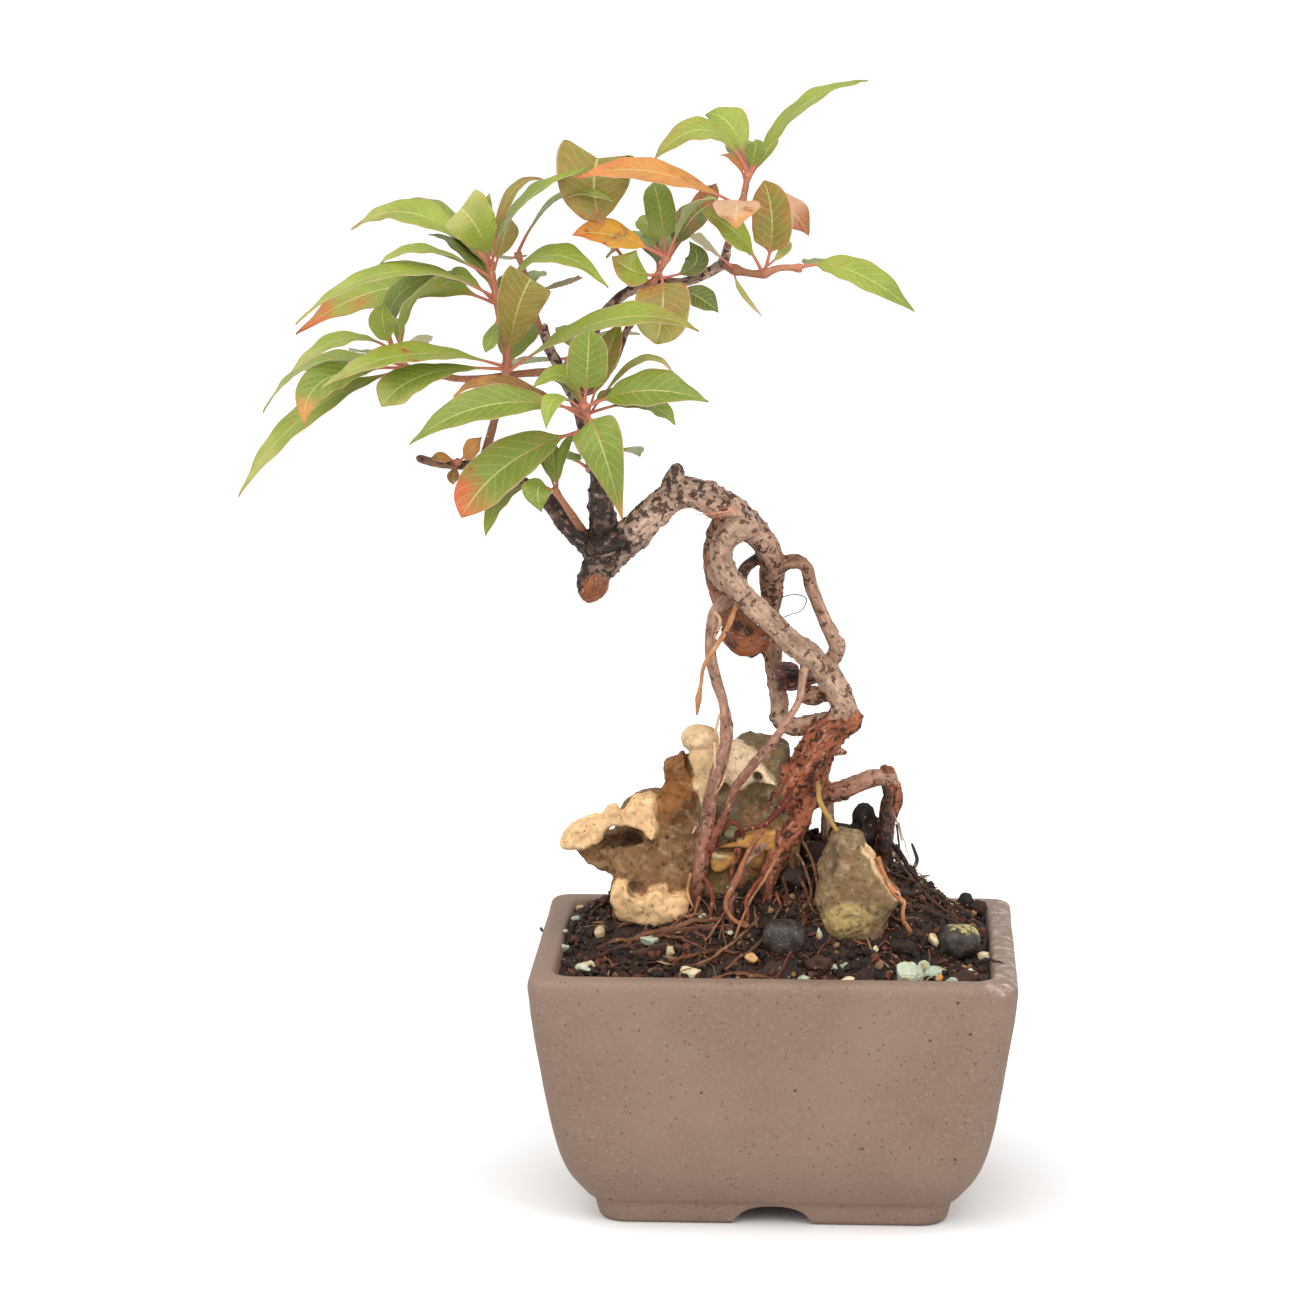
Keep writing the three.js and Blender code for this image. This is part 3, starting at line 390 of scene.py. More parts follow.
clay, nodes, place = new_material("fired clay", 0.62, specular=0.32)
broad = nodes.cloud(place, scale=22, detail=5)
body = nodes.mix(nodes.step(broad, 0.25, 0.75), tone("7E6657"), tone("8B7465"))
body = nodes.stain(body, nodes.patch(place, scale=850, detail=3, low=0.48, high=0.8), "94806F")
body = nodes.stain(body, nodes.dots(place, scale=700, radius=0.34, share=0.1), "6A5447")
body = nodes.stain(body, nodes.dots(place, scale=240, radius=0.16, share=0.06), "4E3D32")
lime = nodes.carried("lime")
crust = nodes.cloud(place, scale=260, detail=6)
bloom = nodes.step(nodes.sum("ADD", lime, crust), 0.86, 1.25)
body = nodes.stain(body, bloom, "D3C6BC")
nodes.coat(body, nodes.gritty(place, scale=900, swell=1.2), strength=0.35, distance=0.0002,
           roughness=nodes.step(broad, 0.3, 0.7, 0.52, 0.7))

CORNER_STEPS = 8
ARCH_STEPS = 24
FRONT_STEPS = 16
SIDE_STEPS = 34


def arch_curve(t):
    """Half of the foot's opening, from its edge at t = 0 up to its crown at t = 1: a cubic Bezier curve."""
    xs = ARCH_HALF * np.array([1, 0.8, 0.5, 0])
    zs = ARCH_HEIGHT * np.array([0, 0.8, 1, 1])
    shares = np.array([(1 - t) ** 3, 3 * t * (1 - t) ** 2, 3 * t * t * (1 - t), t ** 3])
    return xs @ shares, zs @ shares


def pot_ring(half_x, half_y, corner, z):
    """Rounded rectangle with points that also follow the foot's opening: four corners as quarter circles,
    joined by straight sides whose points crowd at the opening."""
    turn = np.linspace(0, math.pi / 2, CORNER_STEPS + 1)
    arc = corner * np.column_stack([np.cos(turn), np.sin(turn)])
    long_half, short_half = half_x - corner, half_y - corner
    curve_x, curve_z = arch_curve(np.linspace(0, 1, ARCH_STEPS // 2 + 1)[:-1])
    if long_half > ARCH_HALF + 1:
        outer = np.linspace(long_half, ARCH_HALF, FRONT_STEPS)[1:]
        right = np.concatenate([outer, curve_x])
        lift = np.concatenate([np.zeros(len(outer)), curve_z])
    else:
        right = np.linspace(long_half, 0, FRONT_STEPS + ARCH_STEPS // 2 + 1)[1:-1]
        lift = np.zeros(len(right))
    back = np.concatenate([right, -right[::-1]])
    lifts = np.concatenate([lift, lift[::-1]])
    side = np.linspace(-short_half, short_half, SIDE_STEPS + 1)[1:-1]
    quarter = [arc, arc[::-1] * (-1, 1), -arc, arc[::-1] * (1, -1)]
    signs = ((1, 1), (-1, 1), (-1, -1), (1, -1))
    corners = [bow + (long_half * a, short_half * b) for bow, (a, b) in zip(quarter, signs)]
    rows = [
        corners[0], np.column_stack([back, np.full(len(back), half_y)]), corners[1],
        np.column_stack([np.full(len(side), -half_x), -side]), corners[2],
        np.column_stack([-back, np.full(len(back), -half_y)]), corners[3],
        np.column_stack([np.full(len(side), half_x), side]),
    ]
    heights = [np.zeros(len(row)) for row in rows]
    heights[1] = heights[5] = lifts
    flat = np.concatenate(rows)
    level = np.full(len(flat), float(z))
    if z < ARCH_HEIGHT:
        level = np.maximum(level, np.concatenate(heights))
    return np.column_stack([flat, level])


def through(knots, values, at):
    """Smooth curve through the knots: cubic Hermite pieces with the slopes of their neighbours."""
    knots, values = np.asarray(knots, float), np.asarray(values, float)
    slopes = np.gradient(values, knots)
    i = np.clip(np.searchsorted(knots, at, side="right") - 1, 0, len(knots) - 2)
    gap = knots[i + 1] - knots[i]
    t = np.clip((at - knots[i]) / gap, 0, 1)
    first = (1 + 2 * t) * (1 - t) ** 2 * values[i] + t * (1 - t) ** 2 * gap * slopes[i]
    return first + t * t * (3 - 2 * t) * values[i + 1] + t * t * (t - 1) * gap * slopes[i + 1]


# The pot's outside: [height, half width, corner radius]. Its inside, downward: [height, half width]
OUTSIDE = [(1.2, 55.2, 9), (4, 56, 9), (6.6, 56.7, 9), (7.3, 57.1, 9), (8.4, 58.6, 9.5), (10, 59.9, 10),
           (12, 61.4, 10), (15, 63.4, 10), (18, 65, 10), (24, 67.2, 9.5), (33, 69.4, 9), (43, 71.1, 8.5),
           (56, 73.1, 7.5), (70, 75, 6.5), (80, 76, 6)]
INSIDE = [(82, 68), (66, 66), (48, 64), (32, 61), (20, 56.5), (FLOOR_TOP, 49)]
FOOT_INSIDE = 44
wall_z = np.concatenate([np.linspace(1.2, 10, 16), np.linspace(11, 80, 60)])
levels, halves, radii = zip(*OUTSIDE)
wall_half, wall_corner = through(levels, halves, wall_z), np.interp(wall_z, levels, radii)
rows = [(0, FOOT_INSIDE + 2.5, 4), (0, FOOT_INSIDE + 3.2, 4), (0, 53.6, 8.5), (0.25, 54.3, 8.6)]
rows += zip(wall_z, wall_half, wall_corner)
rows += [(81.3, 76.0, 6), (82.4, 75.85, 6), (83.2, 75.3, 6), (83.7, 74.6, 5.6), (POT_HEIGHT, 73.4, 5)]
rows += [(POT_HEIGHT, 71.5, 7), (POT_HEIGHT, 69.9, 8), (83.7, 69.0, 8), (83.1, 68.4, 8)]
rows += [(z, half, 8) for z, half in INSIDE]
pot_rings = [pot_ring(half, half - depth_less, corner, z) for z, half, corner in rows]
pot_rings += [pot_ring(DRAIN_RADIUS, DRAIN_RADIUS, DRAIN_RADIUS - 0.01, z) for z in (FLOOR_TOP, RECESS)]
pot_rings += [pot_ring(half, half - depth_less, 4, z)
              for half, z in ((FOOT_INSIDE, RECESS), (FOOT_INSIDE + 2, RECESS - 0.5))]
pot_points = np.concatenate(pot_rings)
outward = pot_points * (1, 1, 0)
outward /= np.linalg.norm(outward, axis=1)[:, None] + 1e-9
above_foot = soft(0.3, 3, pot_points[:, 2])

# The slight waves of a wall made by hand, and where lime has bloomed
hand = 0.22 * noise(pot_points, 26, 3, 2) + 0.05 * noise(pot_points, 4, 9, 2)
pot_points = pot_points + outward * (hand * above_foot)[:, None]
x, y, z = pot_points.T
front_right = np.exp(-((x - 44) / 26) ** 2 - ((z - 66) / 15) ** 2) * (y < -40)
right_rim = soft(40, 70, x) * soft(74, 82, z)
back_left = np.exp(-((x + 40) / 30) ** 2 - ((z - 60) / 18) ** 2) * (y > 40)
foot_edge = 0.35 * soft(6, 0, z)
lime_share = 0.24 * front_right + 0.32 * right_rim + 0.2 * back_left + foot_edge * 0.5
lime_share = np.clip(lime_share + 0.08 * soft(78, 84, z), 0, 1)
pot_skin = Skin()
pot_skin.add(pot_points, wrap(len(pot_rings), len(pot_rings[0]), loop=True), lime=lime_share)
dress("clay_pot", pot_skin, [clay], ["pot"], crease=38)

# The drain screen: a square of black plastic mesh on the pot's floor over its drain hole, hidden by the
# soil. Only its underside can be seen, through the hole. The model's own piece keeps its shape.
plastic, nodes, place = new_material("screen plastic", 0.45)
scuff = nodes.cloud(place, scale=400, detail=4)
shade = nodes.mix(scuff, tone("17181A"), tone("2B2D30"))
nodes.coat(shade, nodes.gritty(place, scale=1500, swell=0.3), strength=0.2, distance=0.0001)
screen_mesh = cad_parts["drain_screen"].data
screen_mesh.materials.clear()
screen_mesh.materials.append(plastic)

# The soil: dark damp crumb of bark and peat that fills the pot to just under its rim and climbs to a mound
# under the roots. Loose crumbs, bark chips and root fibres lie all over it.
SOIL_EDGE = 80.5
MOUND = {"x": 10, "y": 16, "height": 34, "left": 85, "right": 60, "front": 58, "back": 44}
SOIL_HALF = 67.4
SOIL_CORNER = 7.7
SOIL_STEP = 0.56
SOIL_GAP = 0.3


def lumps(points, size, phase=0.0):
    """Smooth lumps from -1 to 1: a mean of three sines, each bent by another."""
    k = 2 * math.pi / size
    x, y, z = points.T
    a = np.sin(k * x + 1.7 * np.sin(k * 0.61 * y + phase))
    b = np.sin(k * 0.93 * y + 1.5 * np.sin(k * 0.57 * z + 2.1 + phase))
    c = np.sin(k * 1.07 * z + 1.3 * np.sin(k * 0.66 * x + 4.2 + phase))
    return (a + b + c) / 3


def soil_height(x, y):
    """Height of the heap: a mound that falls off as the distance to the power of 1.5, over a level edge."""
    dx, dy = x - MOUND["x"], y - MOUND["y"]
    reach_x = np.where(dx < 0, MOUND["left"], MOUND["right"])
    reach_y = np.where(dy < 0, MOUND["front"], MOUND["back"])
    far = np.minimum(1, np.hypot(dx / reach_x, dy / reach_y))
    flat = np.column_stack([x, y, np.zeros(len(x))])
    return SOIL_EDGE + MOUND["height"] * (1 - far ** 1.5) + 0.9 * lumps(flat, 13, 1.3)


def soil_top(x, y):
    """Height of the heap with its crumbly relief."""
    flat = np.column_stack([x, y, np.zeros(len(x))])
    return soil_height(x, y) + 1.5 * noise(flat, 6, 21, 4) + 0.7 * noise(flat, 1.8, 22, 2)


def rounded_in(x, y, half_x, half_y, corner):
    """Points of a rectangle with those beyond its rounded corners pulled in onto the quarter circles."""
    over_x, over_y = np.abs(x) - (half_x - corner), np.abs(y) - (half_y - corner)
    far = np.hypot(over_x, over_y)
    outside = (over_x > 0) & (over_y > 0) & (far > corner)
    share = np.where(outside, corner / np.maximum(far, 1e-9), 1)
    new_x = np.where(outside, np.sign(x) * (half_x - corner + over_x * share), x)
    new_y = np.where(outside, np.sign(y) * (half_y - corner + over_y * share), y)
    return new_x, new_y


def unit_ball(level):
    """Points and triangles of a ball of radius 1: an icosahedron split level - 1 times."""
    ball = bmesh.new()
    bmesh.ops.create_icosphere(ball, subdivisions=level, radius=1)
    points = np.array([v.co[:] for v in ball.verts])
    triangles = np.array([[v.index for v in f.verts] for f in ball.faces])
    ball.free()
    return points, triangles


def curve_through(points, step):
    """Points step mm apart on a centripetal Catmull-Rom curve. Columns past the third, such as a radius,
    run straight from knot to knot."""
    points = np.asarray(points, float)
    p = np.vstack([2 * points[0, :3] - points[1, :3], points[:, :3], 2 * points[-1, :3] - points[-2, :3]])
    gap = np.sqrt(np.linalg.norm(np.diff(p, axis=0), axis=1))[:, None]
    a, b, c, d = p[:-3], p[1:-2], p[2:-1], p[3:]
    before, here, after = gap[:-2], gap[1:-1], gap[2:]
    start_slope = ((b - a) / before - (c - a) / (before + here) + (c - b) / here) * here
    end_slope = ((c - b) / here - (d - b) / (here + after) + (d - c) / after) * here
    t = np.linspace(0, 1, 25)[:-1, None, None]
    curve = ((1 + 2 * t) * (1 - t) ** 2 * b + t * (1 - t) ** 2 * start_slope
             + t * t * (3 - 2 * t) * c + t * t * (t - 1) * end_slope)
    dense = np.vstack([curve.transpose(1, 0, 2).reshape(-1, 3), points[-1:, :3]])
    knot = np.arange(len(dense)) / 24
    run = np.concatenate([[0], np.cumsum(np.linalg.norm(np.diff(dense, axis=0), axis=1))])
    wanted = np.linspace(0, run[-1], max(3, int(round(run[-1] / step)) + 1))
    at = np.interp(wanted, run, knot)
    columns = [np.interp(at, knot, dense[:, i]) for i in range(3)]
    columns += [np.interp(at, np.arange(len(points)), points[:, i]) for i in range(3, points.shape[1])]
    return np.column_stack(columns)


def frame_along(path):
    """Side and up of each point of a path, square to it and to each other. The side is also square to the
    direction that the path runs along least."""
    tangent = np.gradient(path, axis=0)
    tangent /= np.linalg.norm(tangent, axis=1)[:, None]
    _, axes = np.linalg.eigh(tangent.T @ tangent)
    side = np.cross(axes[:, 0], tangent)
    side /= np.linalg.norm(side, axis=1)[:, None]
    return side, np.cross(tangent, side)


def end_fans(rows, columns):
    """Triangles that close a row of rings with the two points after them: the start's, then the end's."""
    ring = np.arange(columns)
    turned = (ring + 1) % columns
    start, last = rows * columns, (rows - 1) * columns
    return np.concatenate([np.column_stack([np.full(columns, start), turned, ring]),
                           np.column_stack([np.full(columns, start + 1), last + ring, last + turned])])


def tube(path, radius, sides, flat=1.0):
    """Skin of a bar: a ring of points round each point of its path, closed by a point at each end. flat
    squashes the rings across their up direction."""
    side, up = frame_along(path)
    angle = 2 * math.pi * np.arange(sides) / sides
    radius = np.broadcast_to(radius, len(path))[:, None, None]
    rings = (path[:, None] + radius * (np.cos(angle)[:, None] * side[:, None]
                                       + flat * np.sin(angle)[:, None] * up[:, None]))
    points = np.vstack([rings.reshape(-1, 3), path[:1], path[-1:]])
    return points, wrap(len(path), sides), end_fans(len(path), sides)


soil, nodes, place = new_material("damp soil", 0.85, specular=0.35)
warm = nodes.cloud(place, scale=180, detail=6)
ground = nodes.mix(nodes.step(warm, 0.35, 0.7), tone("150D09"), tone("4A2F20"))
shade = nodes.carried("tint", "Color")
ground = nodes.mix(0.6, ground, shade)
ground = nodes.stain(ground, nodes.dots(place, scale=600, radius=0.3, share=0.12), "8C6A48")
nodes.coat(ground, nodes.gritty(place, scale=700, swell=1.5), strength=0.7, distance=0.0004,
           roughness=nodes.step(warm, 0.3, 0.75, 0.55, 0.95))

half_x, half_y = SOIL_HALF, SOIL_HALF - depth_less
columns, lines = int(2 * half_x / SOIL_STEP), int(2 * half_y / SOIL_STEP)
grid_x, grid_y = np.meshgrid(np.linspace(-half_x, half_x, columns), np.linspace(-half_y, half_y, lines))
grid_x, grid_y = rounded_in(grid_x.ravel(), grid_y.ravel(), half_x, half_y, SOIL_CORNER)
top = np.column_stack([grid_x, grid_y, soil_top(grid_x, grid_y)])
index = np.arange(columns * lines).reshape(lines, columns)
squares = np.stack([index[:-1, :-1], index[:-1, 1:], index[1:, 1:], index[1:, :-1]], -1).reshape(-1, 4)
border = np.concatenate([index[0, :-1], index[:-1, -1], index[-1, :0:-1], index[:0:-1, 0]])
walls = []
for z, half in INSIDE[1:]:
    ring = top[border] * ((half - SOIL_GAP) / half_x, (half - depth_less - SOIL_GAP) / half_y, 0)
    walls.append(ring + (0, 0, max(z, FLOOR_TOP + SOIL_GAP)))
walls = np.concatenate(walls)
count = len(border)
ids = np.concatenate([border, len(top) + np.arange(len(walls))])
wall_squares = ids[wrap(len(INSIDE), count)][:, ::-1]
base = len(top) + len(walls)
under = np.array([[0, 0, FLOOR_TOP + SOIL_GAP]])
last_ring = base - count + np.arange(count)
base_fan = np.column_stack([np.full(count, base), np.roll(last_ring, -1), last_ring])
heap_points = np.concatenate([top, walls, under])
soil_skin = Skin()
dark_soil, brown_soil = np.array(tone("120B08")), np.array(tone("3B261A"))
share = soft(-0.5, 0.7, noise(heap_points, 9, 31, 3))[:, None]
soil_tint = dark_soil + share * (brown_soil - dark_soil)
soil_skin.add(heap_points, np.concatenate([squares, wall_squares]), base_fan, tint=soil_tint)

# A clump of soil that stands behind the small stone
CLUMP_RADII = (5, 4.5, 12)
CLUMP_PLACE = (28, 14, 112)
ball, ball_faces = unit_ball(5)
clump = ball * CLUMP_RADII + CLUMP_PLACE
clump = clump + ball * (1.6 * lumps(clump, 11) + 1.3 * noise(clump, 3.5, 5, 3))[:, None]
soil_skin.add(clump, None, ball_faces, tint=np.array(tone("17100C")))
dress("soil_heap", soil_skin, [soil], ["soil"])

# Litter on the soil: crumbs, chips of bark that lie flat, dry root fibres, strips, twigs and lumps of peat.
# They came with the mix or fell from the plant, and lie loose on the heap or sink a little into it.


def turns(random, count):
    """Rotation matrices that point any way, from unit quaternions."""
    q = random.normal(size=(count, 4))
    w, x, y, z = (q / np.linalg.norm(q, axis=1)[:, None]).T
    rows = [[1 - 2 * (y * y + z * z), 2 * (x * y - z * w), 2 * (x * z + y * w)],
            [2 * (x * y + z * w), 1 - 2 * (x * x + z * z), 2 * (y * z - x * w)],
            [2 * (x * z - y * w), 2 * (y * z + x * w), 1 - 2 * (x * x + y * y)]]
    return np.moveaxis(np.array(rows), -1, 0)


def turned_about_z(points, angle):
    """The points turned about the upright axis by an angle in radians."""
    c, s = math.cos(angle), math.sin(angle)
    return points @ np.array([[c, s, 0], [-s, c, 0], [0, 0, 1]])


def scattered(random, count, margin):
    """Random places in mm on the soil's top, at least margin mm inside its edge."""
    x = random.uniform(-1, 1, count) * (SOIL_HALF - margin)
    y = random.uniform(-1, 1, count) * (SOIL_HALF - depth_less - margin)
    return np.column_stack([x, y, soil_top(x, y)])


def tones_of(random, count, tones, shares):
    """One of the tones for each thing, with a random lightness."""
    table = np.array([tone(text) for text in tones])
    return table[random.choice(len(tones), count, p=shares)] * random.uniform(0.55, 1.5, count)[:, None]


CRUMB_COUNT = 3000
CRUMB_RADIUS = (0.5, 1.7)
CRUMB_TONES = ["110B08", "2E1C13", "693A26", "9A7850"]
CHIP_COUNT = 260
CHIP_TONES = ["7C4A34", "A88560", "1C120D"]
FIBRE_COUNT = 300
FIBRE_KNOTS = 12
FIBRE_REACH = (66, 49)
FIBRE_TONES = ["7C4A31", "4A2D1E", "A5855C"]

litter_skin = Skin()
random = np.random.default_rng(11)
small_ball, small_faces = unit_ball(1)
count = CRUMB_COUNT
radius = np.exp(random.uniform(*np.log(CRUMB_RADIUS), count))
radii = radius[:, None] * random.uniform(0.65, 1.25, (count, 3))
places = scattered(random, count, 1.5) + np.column_stack([np.zeros((count, 2)), 0.35 * radius])
bumps = random.uniform(0.8, 1.2, (count, len(small_ball), 1))
crumbs = np.einsum("nij,nkj->nki", turns(random, count), small_ball * radii[:, None] * bumps)
crumbs = crumbs + places[:, None]
crumb_faces = small_faces[None] + len(small_ball) * np.arange(count)[:, None, None]
shades = np.repeat(tones_of(random, count, CRUMB_TONES, [0.5, 0.28, 0.17, 0.05]), len(small_ball), 0)
litter_skin.add(crumbs.reshape(-1, 3), None, crumb_faces.reshape(-1, 3), tint=shades)

for _ in range(CHIP_COUNT):
    place = scattered(random, 1, 5)[0]
    long, wide, thick = random.uniform(1.6, 4.2), random.uniform(0.6, 1.3), random.uniform(0.25, 0.5)
    turn, tilt = random.uniform(0, math.pi), random.uniform(-0.3, 0.3)
    chip = small_ball * (long, wide, thick) * random.uniform(0.75, 1.2, (len(small_ball), 1))
    c, s = math.cos(tilt), math.sin(tilt)
    chip = chip @ np.array([[c, 0, s], [0, 1, 0], [-s, 0, c]])
    chip = turned_about_z(chip, turn)
    shade = tones_of(random, 1, CHIP_TONES, [0.5, 0.2, 0.3])[0]
    litter_skin.add(chip + place + (0, 0, 0.5), None, small_faces, tint=shade)

for _ in range(FIBRE_COUNT):
    start = scattered(random, 1, 14)[0]
    turn = random.uniform(0, 2 * math.pi)
    walk = turn + np.cumsum(random.normal(0, 0.35, FIBRE_KNOTS))
    step = random.uniform(0.5, 1.9)
    x = np.clip(start[0] + np.cumsum(step * np.cos(walk)), -FIBRE_REACH[0], FIBRE_REACH[0])
    y = np.clip(start[1] + np.cumsum(step * np.sin(walk)), -FIBRE_REACH[1], FIBRE_REACH[1])
    lift = random.uniform(0.2, 0.9) + random.uniform(0, 1.2) * np.sin(np.linspace(0, math.pi, FIBRE_KNOTS))
    path = np.column_stack([x, y, soil_top(x, y) + lift])
    shade = tones_of(random, 1, FIBRE_TONES, [0.5, 0.32, 0.18])[0]
    litter_skin.add(*tube(path, random.uniform(0.12, 0.32), 3), tint=shade)

# Strips and twigs: [path in mm on the soil, lift over it, half width, thickness over width, tone]
STRIPS = [
    ([(-57, -15), (-45, -18), (-30, -22), (-13, -25)], 0.8, 1.5, 0.45, "6B4431"),
    ([(-46, -24), (-36, -26), (-29, -27)], 0.9, 1.4, 0.4, "5C3B2A"),
    ([(-53, -17), (-38, -20), (-20, -21), (-8, -26)], 1.9, 0.8, 0.7, "8A5A3C"),
    ([(-50, -12), (-36, -15), (-22, -19)], 1.8, 0.7, 0.8, "9A6B48"),
    ([(-44, -20), (-30, -25), (-20, -32)], 1.7, 0.6, 0.8, "7A4A30"),
    ([(-62, -20), (-50, -21), (-40, -23)], 1.4, 0.9, 0.6, "4A2E20"),
    ([(-40, -32), (-24, -31), (-10, -34)], 1.2, 0.6, 0.8, "835236"),
    ([(-54, -21), (-50, -30), (-42, -40)], 0.8, 0.6, 1.0, "8C4E33"),
    ([(-60, 2), (-54, 11), (-50, 16)], 2.2, 0.5, 1.0, "5A4335"),
    ([(-77, 17), (-73, 8), (-69, -2)], 1.2, 0.6, 1.0, "3B2A21"),
    ([(-26, -44), (-10, -40), (6, -43), (12, -46)], 0.7, 0.9, 0.5, "8A5A36"),
    ([(-34, -50), (-12, -46), (14, -49)], 1.0, 0.8, 0.5, "7A4A2E"),
    ([(40, -10), (50, -4), (60, 2)], 1.4, 0.8, 0.6, "4A3527"),
    ([(34, -8), (42, -2), (50, 8)], 2.0, 0.9, 0.5, "332219"),
    ([(28, -4), (37, 3), (44, 15)], 2.4, 0.8, 0.6, "3A281D"),
    ([(38, 2), (47, 6), (57, 12)], 2.6, 0.6, 0.8, "5B3E2C"),
    ([(62, -28), (67, -26), (72, -30)], 3.0, 0.6, 0.6, "201815"),
    ([(2, -20), (-4, -30), (-15, -40)], 1.6, 0.6, 0.9, "7A5034"),
    ([(10, -24), (4, -38), (0, -44)], 1.6, 0.7, 0.7, "6A3B26"),
    ([(-60, -28), (-48, -34), (-36, -34)], 0.8, 0.9, 0.5, "4B3022"),
    ([(-8, -48), (10, -44), (20, -42)], 0.6, 0.5, 0.9, "9A6C45"),
]
for knots, lift, half, flat_share, shade in STRIPS:
    ground = np.column_stack([np.asarray(knots, float), np.zeros(len(knots))])
    path = curve_through(ground, 1.2)
    path[:, 2] = soil_top(path[:, 0], path[:, 1]) * 0.5 + soil_height(path[:, 0], path[:, 1]) * 0.5 + lift
    width = half * (0.55 + 0.45 * np.sin(np.linspace(0.25, math.pi - 0.25, len(path))))
    points, strip_squares, strip_ends = tube(path, width * (1 + 0.2 * noise(path, 3, 7, 1)), 8, flat_share)
    points = points + 0.18 * noise(points, 1.1, 8, 2)[:, None]
    light_share = 0.75 + 0.5 * soft(-0.4, 0.6, noise(points * (0.3, 1, 1), 1.6, 9, 2))[:, None]
    litter_skin.add(points, strip_squares, strip_ends, tint=np.array(tone(shade)) * light_share)

# Dark lumps of peat and bark: [place, radii, tone]
LUMPS = [
    ((61, 36, 86), (3.4, 3, 4.6), "191210"), ((65, 34, 86), (3.2, 3, 2.4), "2A1A14"),
    ((25, 12, 116), (2.6, 2.4, 3.2), "1B1512"), ((30.5, 15, 116), (1.8, 2, 4.6), "453025"),
    ((34, 17, 106), (3, 3, 4), "231812"), ((40, 14, 98), (4, 4, 3), "2A1C15"),
    ((47, 14, 92), (5, 4, 3), "2C1D15"), ((18, 3, 112), (5, 4, 4), "17110F"),
    ((12, 0, 110), (5, 4, 5), "1D1512"), ((6, -10, 106), (5, 4, 4), "241812"),
    ((20, 8, 117), (4, 3, 3), "14100E"), ((-54, 24, 86), (6, 4, 4), "33221A"),
    ((-58, 20, 87), (5, 4, 4), "281A14"), ((-48, 24, 88), (6, 4, 3), "2C1D16"),
    ((14, -38, 85), (4, 3, 2.4), "4A2E24"), ((44, 2, 92), (4, 4, 3), "3A261C"),
    ((60, -42, 81.5), (5, 3, 3), "3C2318"), ((40, -26, 88), (4, 3, 2.6), "241914"),
    ((54, 16, 88), (6, 4, 3.4), "35211A"), ((-31, 34, 92), (7, 5, 4), "2A1B14"),
    ((16, 40, 96), (6, 5, 4), "2A1B14"), ((-8, 44, 92), (5, 4, 3), "33221A"),
]
mid_ball, mid_faces = unit_ball(3)
for number, (place, radii, shade) in enumerate(LUMPS):
    lump = mid_ball * radii + place
    lump = lump + mid_ball * (1.1 * noise(lump, 2.6, 40 + number, 4))[:, None]
    litter_skin.add(lump, None, mid_faces, tint=tone(shade))
dress("soil_litter", litter_skin, [soil], crease=30)

# Gravel on the soil: broken pale green zeolite with tan iron stains, and two crumbs of cream pumice. The
# pieces are loose, and differ in size and in their broken faces.


def broken_stone(radii, seed, level=4, faces=13):
    """Stone cut by random planes: each point of a ball moves out to the nearest plane. That is as far as the
    plane's height over the cosine of the angle between the two. The edges are a little worn."""
    random = np.random.default_rng(seed)
    ball, triangles = unit_ball(level)
    planes = random.normal(size=(faces, 3))
    planes /= np.linalg.norm(planes, axis=1)[:, None]
    heights = random.uniform(0.72, 1.0, faces)
    facing = np.maximum(ball @ planes.T, 0.05)
    near = np.sort(heights / facing, axis=1)
    reach = near[:, 0] - 0.12 * np.exp(-(near[:, 1] - near[:, 0]) / 0.05)
    stone = ball * np.minimum(reach, 1.25)[:, None]
    stone = stone * (1 + 0.05 * noise(stone * 3, 1.0, seed, 3))[:, None]
    return stone * radii, triangles


def lying(points, turn, place):
    """The points turned by an angle in degrees, at a place."""
    return turned_about_z(points, math.radians(turn)) + place


def stone_material(name, roughness, pale_stain, bump):
    """Tint of the points with mottling, a fine grain and stains."""
    material, nodes, place = new_material(name, roughness, specular=0.25)
    shade = nodes.carried("tint", "Color")
    fine = nodes.cloud(place, scale=520, detail=6)
    shade = nodes.stain(shade, nodes.step(fine, 0.34, 0.56, 0.42, 0.0), "6B5138")
    pale = nodes.patch(place, scale=330, detail=8, low=0.46, high=0.76)
    shade = nodes.stain(shade, pale, pale_stain, share=0.3)
    worn = nodes.patch(place, scale=130, detail=5, low=0.45, high=0.7)
    shade = nodes.stain(shade, worn, "8A6238", share=0.4)
    pores = nodes.patch(place, scale=700, detail=4, low=0.63, high=0.67)
    shade = nodes.stain(shade, pores, "33241A", share=0.75)
    nodes.coat(shade, nodes.gritty(place, scale=1100, swell=1.3), strength=bump, distance=0.0003)
    return material


def gravel_material(name, stain):
    """Tint of the points, mottled, with iron stain in patches and small dark dots."""
    material, nodes, place = new_material(name, 0.72, specular=0.3)
    shade = nodes.carried("tint", "Color")
    cloud = nodes.cloud(place, scale=500, detail=5)
    shade = nodes.stain(shade, nodes.step(cloud, 0.35, 0.7, 0.0, 0.35), "DCE3D2")
    shade = nodes.stain(shade, nodes.patch(place, scale=210, detail=4, low=0.56, high=0.66), stain)
    shade = nodes.stain(shade, nodes.dots(place, scale=1500, radius=0.3, share=0.15), "6C6A50")
    nodes.coat(shade, nodes.gritty(place, scale=1300, swell=0.8), strength=0.3, distance=0.0002)
    return material


zeolite = gravel_material("zeolite", "B08A55")
pumice = gravel_material("pumice", "B58A50")

